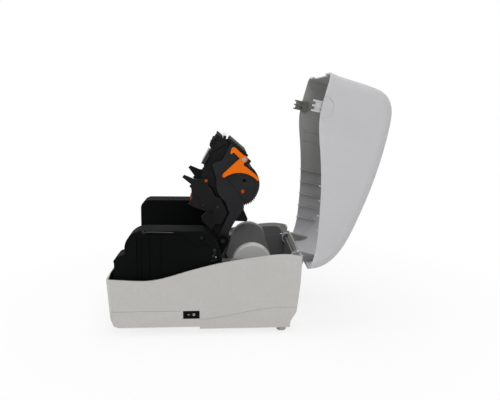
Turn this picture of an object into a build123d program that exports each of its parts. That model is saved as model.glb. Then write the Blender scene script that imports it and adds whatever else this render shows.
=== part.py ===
from build123d import *
import os
from math import cos, pi, radians, sin, sqrt

os.makedirs("parts", exist_ok=True)

# Whole printer. Depth is counted from the front rim of the base towards the rear,
# height from the table, and x across the printer with +X on its left-hand side.
WIDTH = 218.0            # outside width of base and cover
HALF = WIDTH / 2
FRONT = -206.1           # y of the base's front rim: centres the open printer on the origin
WALL = 2.5               # wall of the outer mouldings
SKIN = 2.0               # wall of the inner black mouldings
SEAM = 0.3               # gap along the line where tray and upper base meet
RIM_GAP = 0.8            # gap between base rim and shut cover
SLIP = 0.3               # clearance between parts that move past each other
BORE = 0.05              # radial clearance of a shaft in its bore

# Hinges, as (depth, height), and how far the rest pose stands open
COVER_PIVOT = (279.5, 101.1)
COVER_OPEN = 102.0
MODULE_PIVOT = (168.0, 127.0)
MODULE_OPEN = 93.0

# Outer outline of the base, seen from its left-hand side
FOOT_H = 9.0             # rubber feet lift the tray off the table
BELLY = 12.5             # underside ahead of the tray's step
REAR_BELLY = 9.4         # underside behind it
CORNER_R = 5.0           # upright corners of the base
RIM = [(0, 84.3), (32, 82.2), (63, 81.7), (110, 92.8), (162, 105.8), (231, 116.3), (262, 118),
       (283.5, 114.6)]
FRONT_FOOT = (4.5, 27.3)   # lower end of the straight front face
FRONT_TOE = [(10.5, 14.9), (17.0, BELLY)]   # below it, down to the underside
REAR_FACE = [(283.5, 114.6), (281, 75.9), (275.3, 32.7), (266.5, 18.5)]
STEP_Y = 134.0           # the tray's step and the upright seam behind the switch
PART_FRONT = 36.5        # height of the part line ahead of the switch
PART_REAR = [(134, 23.4), (178, 29.3), (207, 34.8), (236, 38.8), (290, 37.0)]

# Cover, drawn shut
COVER_ROOF = [(-2, 85.1), (2.9, 122.8), (6.0, 151), (10.5, 167.5), (20, 178.4), (34, 184.6),
              (52, 186.6), (95, 185.9), (150, 180.3), (204.6, 170.1), (234, 162.5), (257.5, 152),
              (273, 139.5), (281.5, 126), (284.8, 115.4)]
ROOF_EDGE_R = 14.0       # long rounded edges where the sides meet the roof
LABEL_SLOT = (116.0, 4.6)   # width and height of the label exit in the cover's front rim
GRIP_Y, GRIP_Z, GRIP_R = 49.0, 82.5, 17.0
GRIP_DEPTH = 0.9
RIBS = [(160.1, 107.5), (181.5, 111.6), (203.1, 114.9), (224.5, 117.6), (246.0, 119.6)]
RIB_TOP = 150.0
RIB_T = 1.2
RIB_IN = 8.0             # how far a rib stands off the side wall
RIB_FOOT = 3.2           # how far a rib reaches into the base when shut
CATCH_X = HALF - 9.0
CATCH_T = 4.6
CATCH_BAR_Z = 84.0
CATCH_DROP = 15.0

# Cover hinges
HINGE_X = 60.0           # inner face of each hinge barrel
BARREL_L = 10.0
BARREL_R = 9.0
PIN_R = 3.5
BOARD_X = 11.9 - HALF    # main board, upright beside the media bay
BOARD_T = 1.6
POST_X = (76.0, 84.0)    # upright posts of the tub that hold the hinge pins

# Print mechanism in the base
PLATEN_L = 112.0
CHEEK_X = PLATEN_L / 2 + 2.0   # inner face of the side cheeks
CHEEK_T = 3.0
HOUSING_X = HALF - 11.0  # outer face of the black housings
NEAR_TOP = 152.8
FAR_TOP = 170.4
PLATEN = (36.7, 86.7)
PLATEN_R = 8.0
SHAFT_R = 3.0
BUSH_R = 5.0
GEAR_M = 1.0             # module of all gear teeth
GEAR_W = 6.0
PLATEN_TEETH = 20
IDLER_TEETH = 40
PINION_TEETH = 14
IDLER_ANGLE = 10.0       # direction of the idler from the platen
PINION_ANGLE = 15.0      # direction of the motor from the idler
GEAR_X = CHEEK_X + CHEEK_T + 2.0   # inner face of the gears
PLATE_X = GEAR_X + GEAR_W + 2.0    # inner face of the motor plate
PLATE_T = 1.5
MOTOR_R = 21.0
MOTOR_L = HOUSING_X - SKIN - 1.5 - PLATE_X - PLATE_T

# Print module, drawn open as it stands
FRAME_X = 43.0           # outer faces of the module's frame
MODULE_X = 52.0          # outer faces of its side plates
LEVER_X = MODULE_X + 0.5
LEVER_T = 3.5
LEVER_PIVOT = (200.9, 251.5)
REWIND = (198.7, 201.7)
SUPPLY = (131.0, 192.0)
SPINDLE_R = 9.0
HUB_R = 13.0
DISC = (191.5, 213.0)
DISC_R = 33.0

# Media bay
WELL_R = 60.0
WELL_SKIN = 2.0
WELL_REAR, WELL_FLOOR = 278.0, 24.0   # outermost rear and underside of the well
ROLL = (WELL_REAR - WELL_SKIN - WELL_R, WELL_FLOOR + WELL_SKIN + WELL_R)   # axis of the label roll
WELL_X = HALF - 34.0
DECK_Z = 103.5
GUIDE_T = 12.0
GUIDE_X = WELL_X - GUIDE_T - 3.0   # inner face of a guide at its widest
GUIDE_TRAVEL = 47.0
GUIDE_Y = ROLL[0] - 4.0
GUIDE_R = 30.5
GUIDE_TOP = {"near": 124.5, "far": 129.0}
RACK_Z = 17.5
RACK_H = 3.5

# Switch in the near side of the tray
SWITCH = (110.0, 134.0, 24.5, 35.5)   # front, rear, bottom and top of its opening


def turned_back(pivot, degrees):
    """Side plane turned back about a pivot, so what is drawn shut stands open."""
    c, s = cos(radians(degrees)), sin(radians(degrees))
    y, z = pivot
    origin = (0, FRONT + y - y * c - z * s, z + y * s - z * c)
    return Plane(origin=origin, x_dir=(0, c, -s), z_dir=(1, 0, 0))


SIDE = Plane(origin=(0, FRONT, 0), x_dir=(0, 1, 0), z_dir=(1, 0, 0))
PLAN = Plane(origin=(0, FRONT, 0), x_dir=(1, 0, 0), z_dir=(0, 0, 1))
FACE = Plane(origin=(0, FRONT, 0), x_dir=(1, 0, 0), z_dir=(0, -1, 0))
LID = turned_back(COVER_PIVOT, COVER_OPEN)


def polar(centre, radius, degrees):
    """Point at a distance and direction from a centre."""
    return (centre[0] + radius * cos(radians(degrees)), centre[1] + radius * sin(radians(degrees)))


def outline(points):
    """Closed straight-sided face through the points, inside the current sketch."""
    with BuildLine() as edge:
        Polyline(*points, close=True)
    return make_face(edge.edges())


def plate(plane, points, thick, mode=Mode.ADD):
    """Flat piece with a straight-sided outline, added to the current part."""
    with BuildSketch(plane) as face:
        outline(points)
    return extrude(face.sketch, amount=thick, mode=mode)


def round_bar(plane, centre, radius, length, mode=Mode.ADD):
    """Round bar or bore that starts on a plane, in the current part."""
    with BuildSketch(plane) as end:
        with Locations(centre):
            Circle(radius)
    return extrude(end.sketch, amount=length, mode=mode)


def block(x0, x1, y0, y1, z0, z1, mode=Mode.ADD):
    """Box between two corners given as x, depth and height, in the current part."""
    with BuildSketch(PLAN.offset(z0)) as base:
        with Locations(((x0 + x1) / 2, (y0 + y1) / 2)):
            Rectangle(x1 - x0, y1 - y0)
    return extrude(base.sketch, amount=z1 - z0, mode=mode)


def toothed(plane, centre, teeth, width, start=0.0):
    """Spur gear: a root disc with tapered teeth round it, added to the current part."""
    pitch_r = GEAR_M * teeth / 2
    root, tip = pitch_r - 1.15 * GEAR_M, pitch_r + 0.85 * GEAR_M
    foot, crest = 0.92 * GEAR_M, 0.33 * GEAR_M
    with BuildSketch() as tooth:
        outline([(root - 0.3, -foot), (root, -foot), (tip, -crest), (tip, crest), (root, foot),
                 (root - 0.3, foot)])
    with BuildSketch(plane) as wheel:
        with Locations(centre):
            Circle(root)
            with PolarLocations(0, teeth, start_angle=start):
                add(tooth.sketch)
    return extrude(wheel.sketch, amount=width)


def base_hull():
    """Base in side view with its front left long, inside the current sketch."""
    with BuildLine() as edge:
        Line((-4, RIM[0][1] + 0.3), RIM[0])
        Spline(*RIM)
        Polyline(*REAR_FACE, (265.4, REAR_BELLY), (STEP_Y, REAR_BELLY), (STEP_Y, BELLY),
                 *FRONT_TOE[::-1], FRONT_FOOT, (-4, 45), (-4, RIM[0][1] + 0.3))
    return make_face(edge.edges())


def tray_side(margin):
    """Everything below the part line, lowered by a margin, inside the current sketch."""
    front = PART_FRONT - margin
    rear = [(y, z - margin) for y, z in PART_REAR]
    with BuildLine() as edge:
        Polyline((-20, 0), (-20, front), (STEP_Y, front), rear[0])
        Spline(*rear)
        Polyline(rear[-1], (290, 0), (-20, 0))
    return make_face(edge.edges())


def near_side():
    """Outline of the near housing and its cheek, inside the current sketch."""
    with BuildLine() as edge:
        Polyline((153, 104.5), (153, 66), (9, 66), (9, 91), (10.5, 94), (10.5, 105), (9.5, 108.5),
                 (14, 114), (26, 119), (26, NEAR_TOP - 26))
        ThreePointArc((26, NEAR_TOP - 26), polar((52, NEAR_TOP - 26), 26, 135), (52, NEAR_TOP))
        Line((52, NEAR_TOP), (138, NEAR_TOP - 1.6))
        ThreePointArc((138, NEAR_TOP - 1.6), (154, 140), (162.5, 123.3))
        Polyline((162.5, 123.3), (166.7, 105.3), (166.7, 104.5), (153, 104.5))
    return make_face(edge.edges())


def far_side():
    """Outline of the far housing and its cheek, inside the current sketch."""
    with BuildLine() as edge:
        Polyline((150, 104.5), (153, 66), (9, 66), (9, 91), (10.5, 94), (10.5, 105), (28, 112),
                 (28, FAR_TOP - 14))
        ThreePointArc((28, FAR_TOP - 14), polar((42, FAR_TOP - 14), 14, 135), (42, FAR_TOP))
        Line((42, FAR_TOP), (112, FAR_TOP - 1))
        ThreePointArc((112, FAR_TOP - 1), (140, 152), (152, 124))
        Polyline((152, 124), (160, 105), (160, 104.5), (150, 104.5))
    return make_face(edge.edges())


def shifted(points, dy, dz):
    """The same points moved by a step."""
    return [(y + dy, z + dz) for y, z in points]


def mesh_start(start, teeth_a, teeth_b, direction):
    """Turn of a gear's teeth that mesh with a first gear lying in the opposite direction."""
    phase = ((direction - start) * teeth_a / 360) % 1
    return direction + 180 + (phase + 0.5) * 360 / teeth_b


def gear_distance(teeth_a, teeth_b):
    """Distance between the axes of two meshing gears."""
    return GEAR_M * (teeth_a + teeth_b) / 2


IDLER = polar(PLATEN, gear_distance(PLATEN_TEETH, IDLER_TEETH), IDLER_ANGLE)
MOTOR = polar(IDLER, gear_distance(IDLER_TEETH, PINION_TEETH), PINION_ANGLE)
IDLER_START = mesh_start(0, PLATEN_TEETH, IDLER_TEETH, IDLER_ANGLE)
PINION_START = mesh_start(IDLER_START, IDLER_TEETH, PINION_TEETH, PINION_ANGLE)


def coil(plane, radius, wire, turns, pitch, legs=0.0):
    """Round wire wound about a plane's normal, as one tube: quarter turns that each start
    in line with the one before, and a straight leg in line with each end."""
    def at(turn):
        a = 2 * pi * turn
        return plane.from_local_coords(Vector(radius * cos(a), radius * sin(a), pitch * turn))

    ahead = (plane.from_local_coords(Vector(0, radius, pitch / (2 * pi))) - plane.origin).normalized()
    with BuildPart() as winding:
        with BuildLine() as path:
            if legs:
                Line(at(0) - ahead * legs, at(0))
            tangent = ahead
            for quarter in range(4 * turns):
                arc = TangentArc(at(quarter / 4), at((quarter + 1) / 4), tangent=tangent)
                tangent = arc % 1
            if legs:
                Line(arc @ 1, arc @ 1 + tangent * legs)
        with BuildSketch(Plane(origin=path.line @ 0, z_dir=path.line % 0)):
            Circle(wire / 2)
        sweep()
    print(f"coil of {turns} turns, least gap to itself {pitch - wire:.2f} mm")
    return winding.part


# Case: upper base, tray, feet and screws
POSTS = [(side * (HALF - 6.8), y) for y in (28, 246) for side in (-1, 1)]
POST_R = 5.0
TRAY_POST_R = 4.0
POST_Z = 41.0            # where tray posts and case posts meet
SCREW_R = 1.6
SCREW_HEAD_R = 3.0
BUTTON = (-70.0, 46.0)   # feed button in the front wall, as x and height
BUTTON_R = 7.0
BUTTON_TRAVEL = 1.2
LAMP_Z = 60.0
LAMP_R = 2.0
BOARD_Y = 22.0           # front face of the small board behind the button
BOARD_Z = (30.0, 64.0)
HINGE_NOTCH = (56.0, 87.0)  # x range left free for each cover hinge in the rear wall
PORT_X = (BOARD_X - 2.9, BOARD_X + 19.1)
PORT_Z = (46.0, 87.0)
FEET = [(-60, 26), (60, 26), (17 - HALF, 254.5), (HALF - 17, 254.5)]
FOOT_R = 7.0


def leaning_block(margin):
    """Solid with a leaning front face and round front corners, drawn in by a margin."""
    lean = (FRONT_FOOT[0] - RIM[0][0]) / (RIM[0][1] - FRONT_FOOT[1])
    front = RIM[0][0] + RIM[0][1] * lean + margin * sqrt(1 + lean ** 2)
    x, r = HALF - margin, CORNER_R - margin
    with BuildSketch(PLAN) as plan:
        with BuildLine() as edge:
            Polyline((x, front + r), (x, 330), (-x, 330), (-x, front + r))
            ThreePointArc((-x, front + r), polar((-x + r, front + r), r, 225), (-x + r, front))
            Line((-x + r, front), (x - r, front))
            ThreePointArc((x - r, front), polar((x - r, front + r), r, 315), (x, front + r))
        make_face(edge.edges())
    return extrude(plan.sketch, amount=150, dir=(0, -lean, 1), mode=Mode.PRIVATE)


def base_shell():
    """Base as a tub with an open top and rounded corners, added to the current part."""
    with BuildSketch(SIDE.offset(-HALF)) as hull:
        base_hull()
    with BuildSketch(SIDE.offset(-HALF)) as inside:
        outline([(-4, 140), (-4, 45), FRONT_FOOT, *FRONT_TOE, (STEP_Y, BELLY),
                 (STEP_Y, REAR_BELLY), (265.4, REAR_BELLY), *REAR_FACE[::-1], (283.5, 140)])
        offset(amount=-WALL, mode=Mode.REPLACE)
    body = extrude(hull.sketch, amount=WIDTH, mode=Mode.PRIVATE)
    hollow = extrude(inside.sketch, amount=WIDTH, mode=Mode.PRIVATE)
    add(body & leaning_block(0))
    return add(hollow & leaning_block(WALL), mode=Mode.SUBTRACT)


with BuildPart() as base_case:
    base_shell()
    with BuildSketch(SIDE.offset(-HALF)):
        tray_side(0)
    extrude(amount=WIDTH, mode=Mode.SUBTRACT)
    for x, y in POSTS:
        with BuildSketch(PLAN.offset(POST_Z)):
            with Locations((x, y)):
                Circle(POST_R)
        extrude(amount=24)
    with BuildSketch(PLAN.offset(POST_Z)):
        with Locations(*POSTS):
            Circle(SCREW_R + BORE)
    extrude(amount=18, mode=Mode.SUBTRACT)
    for x0, x1 in (HINGE_NOTCH, (-HINGE_NOTCH[1], -HINGE_NOTCH[0])):
        block(x0, x1, 268, 292, 88.0, 125, mode=Mode.SUBTRACT)
    with BuildSketch(FACE.offset(5)):
        with Locations(BUTTON):
            Circle(BUTTON_R + SLIP)
        with Locations((BUTTON[0], LAMP_Z)):
            Circle(LAMP_R + BORE)
    extrude(amount=-20, mode=Mode.SUBTRACT)
    for x in (-12, 12):
        block(BUTTON[0] + x - 2, BUTTON[0] + x + 2, 3.0, BOARD_Y, BOARD_Z[1] - 4, BOARD_Z[1])
    block(PORT_X[0] + 2, PORT_X[1] - 2, 270, 290, PORT_Z[0] + 2, PORT_Z[1] - 2, mode=Mode.SUBTRACT)
base_case.part.label = "base_case"
export_step(base_case.part, "parts/base_case.step")

with BuildPart() as bottom_tray:
    base_shell()
    with BuildSketch(SIDE.offset(-HALF)):
        tray_side(SEAM)
    extrude(amount=WIDTH, mode=Mode.INTERSECT)
    with BuildSketch(PLAN.offset(BELLY)):
        with Locations(*POSTS):
            Circle(TRAY_POST_R)
    extrude(amount=POST_Z - BELLY)
    with BuildSketch(PLAN):
        with Locations(*POSTS):
            Circle(SCREW_R + BORE)
    extrude(amount=POST_Z, mode=Mode.SUBTRACT)
    with BuildSketch(PLAN):
        with Locations(*POSTS):
            Circle(SCREW_HEAD_R + SLIP)
    extrude(amount=BELLY + 4, mode=Mode.SUBTRACT)
    with BuildSketch(PLAN):
        with Locations(*FEET):
            Circle(FOOT_R + 1.5)
    extrude(amount=BELLY + 0.8, mode=Mode.SUBTRACT)
    with BuildSketch(PLAN.offset(BELLY + 0.8)):
        with Locations(*FEET):
            Circle(FOOT_R + 2.5)
    extrude(amount=WALL)
    block(HALF - 5, HALF + 1, SWITCH[0], SWITCH[1], SWITCH[2], 60, mode=Mode.SUBTRACT)
bottom_tray.part.label = "bottom_tray"
export_step(bottom_tray.part, "parts/bottom_tray.step")

with BuildPart() as rubber_feet:
    with BuildSketch(PLAN):
        with Locations(*FEET):
            Circle(FOOT_R)
    extrude(amount=BELLY + 0.8)
    chamfer(rubber_feet.faces().filter_by(Axis.Z).sort_by(Axis.Z)[:4].edges(), length=1.0)
rubber_feet.part.label = "rubber_feet"
export_step(rubber_feet.part, "parts/rubber_feet.step")

with BuildPart() as case_screws:
    with BuildSketch(PLAN.offset(BELLY + 1.5)):
        with Locations(*POSTS):
            Circle(SCREW_HEAD_R)
    extrude(amount=2.5)
    with BuildSketch(PLAN.offset(BELLY + 4)):
        with Locations(*POSTS):
            Circle(SCREW_R)
    extrude(amount=POST_Z - BELLY + 10)
case_screws.part.label = "case_screws"
export_step(case_screws.part, "parts/case_screws.step")


# Power switch: frame let into the side wall and a rocker that tips about an upright axis
SWITCH_MID = ((SWITCH[0] + SWITCH[1]) / 2, (SWITCH[2] + SWITCH[3]) / 2)
SWITCH_L = SWITCH[1] - SWITCH[0]
SWITCH_H = SWITCH[3] - SWITCH[2]
ROCKER_L = 15.0
ROCKER_H = 8.0
ROCKER_TIP = 7.0         # degrees to each side
ROCKER_AXIS_X = HALF - 5.0

with BuildPart() as switch_frame:
    with BuildSketch(SIDE.offset(HALF - 20)):
        with Locations(SWITCH_MID):
            Rectangle(SWITCH_L - 0.4, SWITCH_H - 0.4)
    extrude(amount=20 - 0.6)
    with BuildSketch(SIDE.offset(HALF - 14)):
        with Locations(SWITCH_MID):
            Rectangle(ROCKER_L + 2 * SLIP, ROCKER_H + 2 * SLIP)
    extrude(amount=20, mode=Mode.SUBTRACT)
    for y in (-5, 0, 5):
        block(HALF - 26, HALF - 20, SWITCH_MID[0] + y - 0.4, SWITCH_MID[0] + y + 0.4,
              SWITCH_MID[1] - 2.4, SWITCH_MID[1] + 2.4)
switch_frame.part.label = "switch_frame"
export_step(switch_frame.part, "parts/switch_frame.step")

with BuildPart() as power_rocker:
    with BuildSketch(PLAN.offset(SWITCH_MID[1] - ROCKER_H / 2)):
        with Locations((ROCKER_AXIS_X, SWITCH_MID[0])):
            Circle(3.0)
        tip = ROCKER_L / 2 - 0.4
        outline([(ROCKER_AXIS_X, SWITCH_MID[0] - tip), (HALF - 1.6, SWITCH_MID[0] - tip),
                 (HALF - 2.6, SWITCH_MID[0]), (HALF - 1.6, SWITCH_MID[0] + tip),
                 (ROCKER_AXIS_X, SWITCH_MID[0] + tip)])
    extrude(amount=ROCKER_H)
power_rocker.part.label = "power_rocker"
export_step(power_rocker.part, "parts/power_rocker.step")

# Feed button and status lamp in the front wall, on a small board behind them
with BuildPart() as feed_button:
    round_bar(FACE.offset(-1.2), BUTTON, BUTTON_R, -13.8)
    round_bar(FACE.offset(-12.0), BUTTON, BUTTON_R + 1.5, -2.0)
    round_bar(FACE.offset(-14.0), BUTTON, 2.0, -(BOARD_Y - 14.0 - BUTTON_TRAVEL - 2.3))
feed_button.part.label = "feed_button"
export_step(feed_button.part, "parts/feed_button.step")

with BuildPart() as status_lamp:
    round_bar(FACE.offset(-1.0), (BUTTON[0], LAMP_Z), LAMP_R, 1.0 - BOARD_Y)
status_lamp.part.label = "status_lamp"
export_step(status_lamp.part, "parts/status_lamp.step")

with BuildPart() as button_board:
    block(BUTTON[0] - 14, BUTTON[0] + 14, BOARD_Y, BOARD_Y + BOARD_T, BOARD_Z[0], BOARD_Z[1])
    block(BUTTON[0] - 3, BUTTON[0] + 3, BOARD_Y - 2, BOARD_Y, BUTTON[1] - 3, BUTTON[1] + 3)
    block(BUTTON[0] - 8, BUTTON[0] + 8, BOARD_Y + BOARD_T, BOARD_Y + 6, BOARD_Z[0], BOARD_Z[0] + 4)
button_board.part.label = "button_board"
export_step(button_board.part, "parts/button_board.step")

# Media bay: deck and round-bottomed well with the posts that carry the cover's hinges
DECK_T = 2.5
DECK_X = HALF - 6.0
DECK_Y = (179.0, 278.5)
SLOT_Y = {"near": (ROLL[0] + 9, ROLL[0] + 15), "far": (ROLL[0] - 15, ROLL[0] - 9)}
GUIDE_FOOT = 6.0         # length of a guide's neck along x
WELL_POST_Y = 32.0       # posts under the well, ahead of and behind the roll's axis

with BuildPart() as media_tub:
    block(-DECK_X, DECK_X, DECK_Y[0], DECK_Y[1], DECK_Z - DECK_T, DECK_Z)
    with BuildSketch(SIDE.offset(-WELL_X - WELL_SKIN)):
        with Locations(ROLL):
            Circle(WELL_R + WELL_SKIN)
            Rectangle(2 * (WELL_R + WELL_SKIN), DECK_Z - ROLL[1],
                      align=(Align.CENTER, Align.MIN))
    extrude(amount=2 * (WELL_X + WELL_SKIN))
    split(bisect_by=Plane.XY.offset(DECK_Z), keep=Keep.BOTTOM)
    for x0 in (POST_X[0], -POST_X[1]):
        with BuildSketch(SIDE.offset(x0)):
            with Locations(COVER_PIVOT):
                Circle(BARREL_R - 0.5)
            outline([(262, DECK_Z - 0.5), (266, 88), (278.5, 88), (287, 97), (284, 107),
                     (275, 108)])
        extrude(amount=POST_X[1] - POST_X[0])
    with BuildSketch(SIDE.offset(-WELL_X)):
        with Locations(ROLL):
            Circle(WELL_R)
            Rectangle(2 * WELL_R, DECK_Z - ROLL[1], align=(Align.CENTER, Align.MIN))
    extrude(amount=2 * WELL_X, mode=Mode.SUBTRACT)
    for x0 in (-POST_X[1] - 1, POST_X[0] - 1):
        round_bar(SIDE.offset(x0), COVER_PIVOT, PIN_R + BORE, POST_X[1] - POST_X[0] + 2,
                  mode=Mode.SUBTRACT)
    for x0 in (HINGE_X - 1, -POST_X[0]):
        round_bar(SIDE.offset(x0), COVER_PIVOT, BARREL_R + 1, POST_X[0] - HINGE_X + 1,
                  mode=Mode.SUBTRACT)
    for side, name in ((1, "near"), (-1, "far")):
        y0, y1 = SLOT_Y[name]
        x0, x1 = GUIDE_X - GUIDE_TRAVEL - SLIP, GUIDE_X + GUIDE_T
        block(min(side * x0, side * x1), max(side * x0, side * x1), y0 - SLIP, y1 + SLIP, 15, 40,
              mode=Mode.SUBTRACT)
    block(-7, 7, ROLL[0] - 7, ROLL[0] + 7, ROLL[1] - WELL_R - WELL_SKIN - 1.5,
          ROLL[1] - WELL_R - 0.5)
    round_bar(PLAN.offset(RACK_Z - 3), (0, ROLL[0]), 2.0, 8.0)
    for y in (168, 240):
        block(BOARD_X + BOARD_T, -WELL_X - 1, y - 4, y + 4, 86, 92)
    post_top = ROLL[1] - sqrt((WELL_R + WELL_SKIN) ** 2 - WELL_POST_Y ** 2) + 0.9
    for x in (-60, 60):
        for y in (ROLL[0] - WELL_POST_Y, ROLL[0] + WELL_POST_Y):
            round_bar(PLAN.offset(REAR_BELLY + WALL), (x, y), 3.0, post_top - REAR_BELLY - WALL)
    plate(SIDE.offset(-80), [(238, 102), (238, 118.5), (262, 118.5), (267, 116.5), (272, 109),
                             (272, 102)], 2.5)
media_tub.part.label = "media_tub"
export_step(media_tub.part, "parts/media_tub.step")


def guide_side(top):
    """Side outline of a media guide: half disc on a flared foot, inside the current sketch."""
    with Locations((GUIDE_Y, top - GUIDE_R)):
        Circle(GUIDE_R)
    return outline([(GUIDE_Y - GUIDE_R, top - GUIDE_R), (GUIDE_Y - 39, 74), (GUIDE_Y - 25, 42),
                    (GUIDE_Y + 25, 42), (GUIDE_Y + 39, 74), (GUIDE_Y + GUIDE_R, top - GUIDE_R)])


def rack(side, name):
    """Toothed rack under the bay floor, added to the current part."""
    y0, y1 = SLOT_Y[name]
    pitch = pi * GEAR_M
    face = y0 if side > 0 else y1
    back = y1 if side > 0 else y0
    x_out = side * (GUIDE_X + 9)
    x_in = -side * 8.0
    block(min(x_in, x_out), max(x_in, x_out), min(face + side * 1.15, back),
          max(face + side * 1.15, back), RACK_Z, RACK_Z + RACK_H)
    count = int((GUIDE_X + 9 + 8) / pitch) - 1
    with BuildSketch(PLAN.offset(RACK_Z)) as teeth:
        for i in range(-2, count - 2):
            x = side * (i + 0.5) * pitch
            outline([(x - 0.92, face + side * 1.2), (x - 0.33, face - side * 0.85),
                     (x + 0.33, face - side * 0.85), (x + 0.92, face + side * 1.2)])
    return extrude(teeth.sketch, amount=RACK_H)


with BuildPart() as near_media_guide:
    with BuildSketch(SIDE.offset(GUIDE_X)):
        guide_side(GUIDE_TOP["near"])
    extrude(amount=GUIDE_T)
    fillet(near_media_guide.faces().sort_by(Axis.X)[-1].edges(), radius=3.0)
    with BuildSketch(SIDE.offset(GUIDE_X - 1)):
        guide_side(GUIDE_TOP["near"])
        offset(amount=-2.5, mode=Mode.REPLACE)
    extrude(amount=GUIDE_T - 2.0, mode=Mode.SUBTRACT)
    y0, y1 = SLOT_Y["near"]
    block(GUIDE_X + 3, GUIDE_X + 3 + GUIDE_FOOT, y0, y1, RACK_Z, 47)
    rack(1, "near")
near_media_guide.part.label = "near_media_guide"
export_step(near_media_guide.part, "parts/near_media_guide.step")

with BuildPart() as far_media_guide:
    with BuildSketch(SIDE.offset(-GUIDE_X - GUIDE_T)):
        guide_side(GUIDE_TOP["far"])
    extrude(amount=GUIDE_T)
    fillet(far_media_guide.faces().sort_by(Axis.X)[-1].edges(), radius=2.0)
    with BuildSketch(SIDE.offset(-GUIDE_X - GUIDE_T - 1)):
        guide_side(GUIDE_TOP["far"])
        offset(amount=-2.5, mode=Mode.REPLACE)
    extrude(amount=GUIDE_T - 2.0, mode=Mode.SUBTRACT)
    y0, y1 = SLOT_Y["far"]
    block(-GUIDE_X - 3 - GUIDE_FOOT, -GUIDE_X - 3, y0, y1, RACK_Z, 47)
    rack(-1, "far")
    with BuildSketch(SIDE.offset(-GUIDE_X - 0.8)):
        outline(shifted([(5.5, -5), (8, -5), (8, -16), (5, -25), (5, -32), (2.5, -32),
                         (2.5, -24), (5.5, -16)], GUIDE_Y, GUIDE_TOP["far"]))
    extrude(amount=3, mode=Mode.SUBTRACT)
far_media_guide.part.label = "far_media_guide"
export_step(far_media_guide.part, "parts/far_media_guide.step")

with BuildPart() as guide_pinion:
    toothed(PLAN.offset(RACK_Z), (0, ROLL[0]), 18, RACK_H, start=90)
    round_bar(PLAN.offset(RACK_Z), (0, ROLL[0]), 2.0 + BORE, RACK_H, mode=Mode.SUBTRACT)
guide_pinion.part.label = "guide_pinion"
export_step(guide_pinion.part, "parts/guide_pinion.step")

# Main board upright beside the bay, with its parts and the sockets in the rear wall
with BuildPart() as main_board:
    block(BOARD_X, BOARD_X + BOARD_T, 160, 266, 28, 96)
main_board.part.label = "main_board"
export_step(main_board.part, "parts/main_board.step")

with BuildPart() as board_parts:
    for y, z, dy, dz, t in ((200, 62, 26, 26, 3), (236, 70, 14, 20, 2.5), (176, 44, 12, 12, 8),
                            (176, 80, 18, 10, 10), (206, 33, 30, 8, 9)):
        block(BOARD_X + BOARD_T, BOARD_X + BOARD_T + t, y - dy / 2, y + dy / 2, z - dz / 2,
              z + dz / 2)
    for y, z in ((232, 44), (246, 44), (256, 90)):
        round_bar(SIDE.offset(BOARD_X + BOARD_T), (y, z), 5.0, 12.0)
board_parts.part.label = "board_parts"
export_step(board_parts.part, "parts/board_parts.step")

PORT_MID = (PORT_X[0] + PORT_X[1]) / 2
PORT_HALF = PORT_MID - BOARD_X - BOARD_T
INLET_Z, USB_Z, NET_Z = 52.0, 63.5, 77.5
PANEL_Y = 274.0
with BuildPart() as port_panel:
    with BuildSketch(FACE.offset(-PANEL_Y)):
        with Locations((PORT_MID, (PORT_Z[0] + PORT_Z[1]) / 2)):
            Rectangle(PORT_X[1] - PORT_X[0], PORT_Z[1] - PORT_Z[0])
        with Locations((PORT_MID, INLET_Z)):
            Circle(4.6, mode=Mode.SUBTRACT)
        with Locations((PORT_MID, USB_Z)):
            Rectangle(2 * PORT_HALF + 0.2, 11.2, mode=Mode.SUBTRACT)
        with Locations((PORT_MID, NET_Z)):
            Rectangle(2 * PORT_HALF + 0.2, 13.2, mode=Mode.SUBTRACT)
    extrude(amount=1.2)
port_panel.part.label = "port_panel"
export_step(port_panel.part, "parts/port_panel.step")

with BuildPart() as power_inlet:
    block(PORT_MID - PORT_HALF, PORT_MID + 4.4, 254, 266, INLET_Z - 4.4, INLET_Z + 4.4)
    round_bar(FACE.offset(-262), (PORT_MID, INLET_Z), 4.4, -12.4)
    round_bar(FACE.offset(-264), (PORT_MID, INLET_Z), 3.0, -14.0, mode=Mode.SUBTRACT)
    round_bar(FACE.offset(-262), (PORT_MID, INLET_Z), 1.0, -11.5)
power_inlet.part.label = "power_inlet"
export_step(power_inlet.part, "parts/power_inlet.step")

with BuildPart() as usb_socket:
    block(PORT_MID - PORT_HALF, PORT_MID + PORT_HALF, 258, 277, USB_Z - 5.5, USB_Z + 5.5)
    block(PORT_MID - 4.2, PORT_MID + 4.2, 264, 280, USB_Z - 3.8, USB_Z + 3.8, mode=Mode.SUBTRACT)
    block(PORT_MID - 2.8, PORT_MID + 2.8, 263, 275.5, USB_Z - 1.4, USB_Z + 1.4)
usb_socket.part.label = "usb_socket"
export_step(usb_socket.part, "parts/usb_socket.step")

with BuildPart() as network_socket:
    block(PORT_MID - PORT_HALF, PORT_MID + PORT_HALF, 258, 277.5, NET_Z - 6.5, NET_Z + 6.5)
    block(PORT_MID - 4.6, PORT_MID + 4.6, 264, 280, NET_Z - 5.4, NET_Z + 3.0, mode=Mode.SUBTRACT)
    block(PORT_MID - 2.0, PORT_MID + 2.0, 264, 280, NET_Z + 2.9, NET_Z + 5.0, mode=Mode.SUBTRACT)
network_socket.part.label = "network_socket"
export_step(network_socket.part, "parts/network_socket.step")


# Print mechanism: black frame with two cheeks, label chute and beams
EAR_R = 9.0
CHUTE = [(152, 62), (112, 47), (82, 44), (62, 57), (50, 76)]
BEAM_Y = (19.0, 25.0)
SENSOR_Y = 96.0          # rail for the label sensor under the chute


def ear():
    """Bearing ear for the module's hinge, inside the current sketch."""
    with Locations(MODULE_PIVOT):
        Circle(EAR_R)
    return outline([(146, 106), (166, 106), (176.5, 124), (162, 134), (148, 130)])


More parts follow.
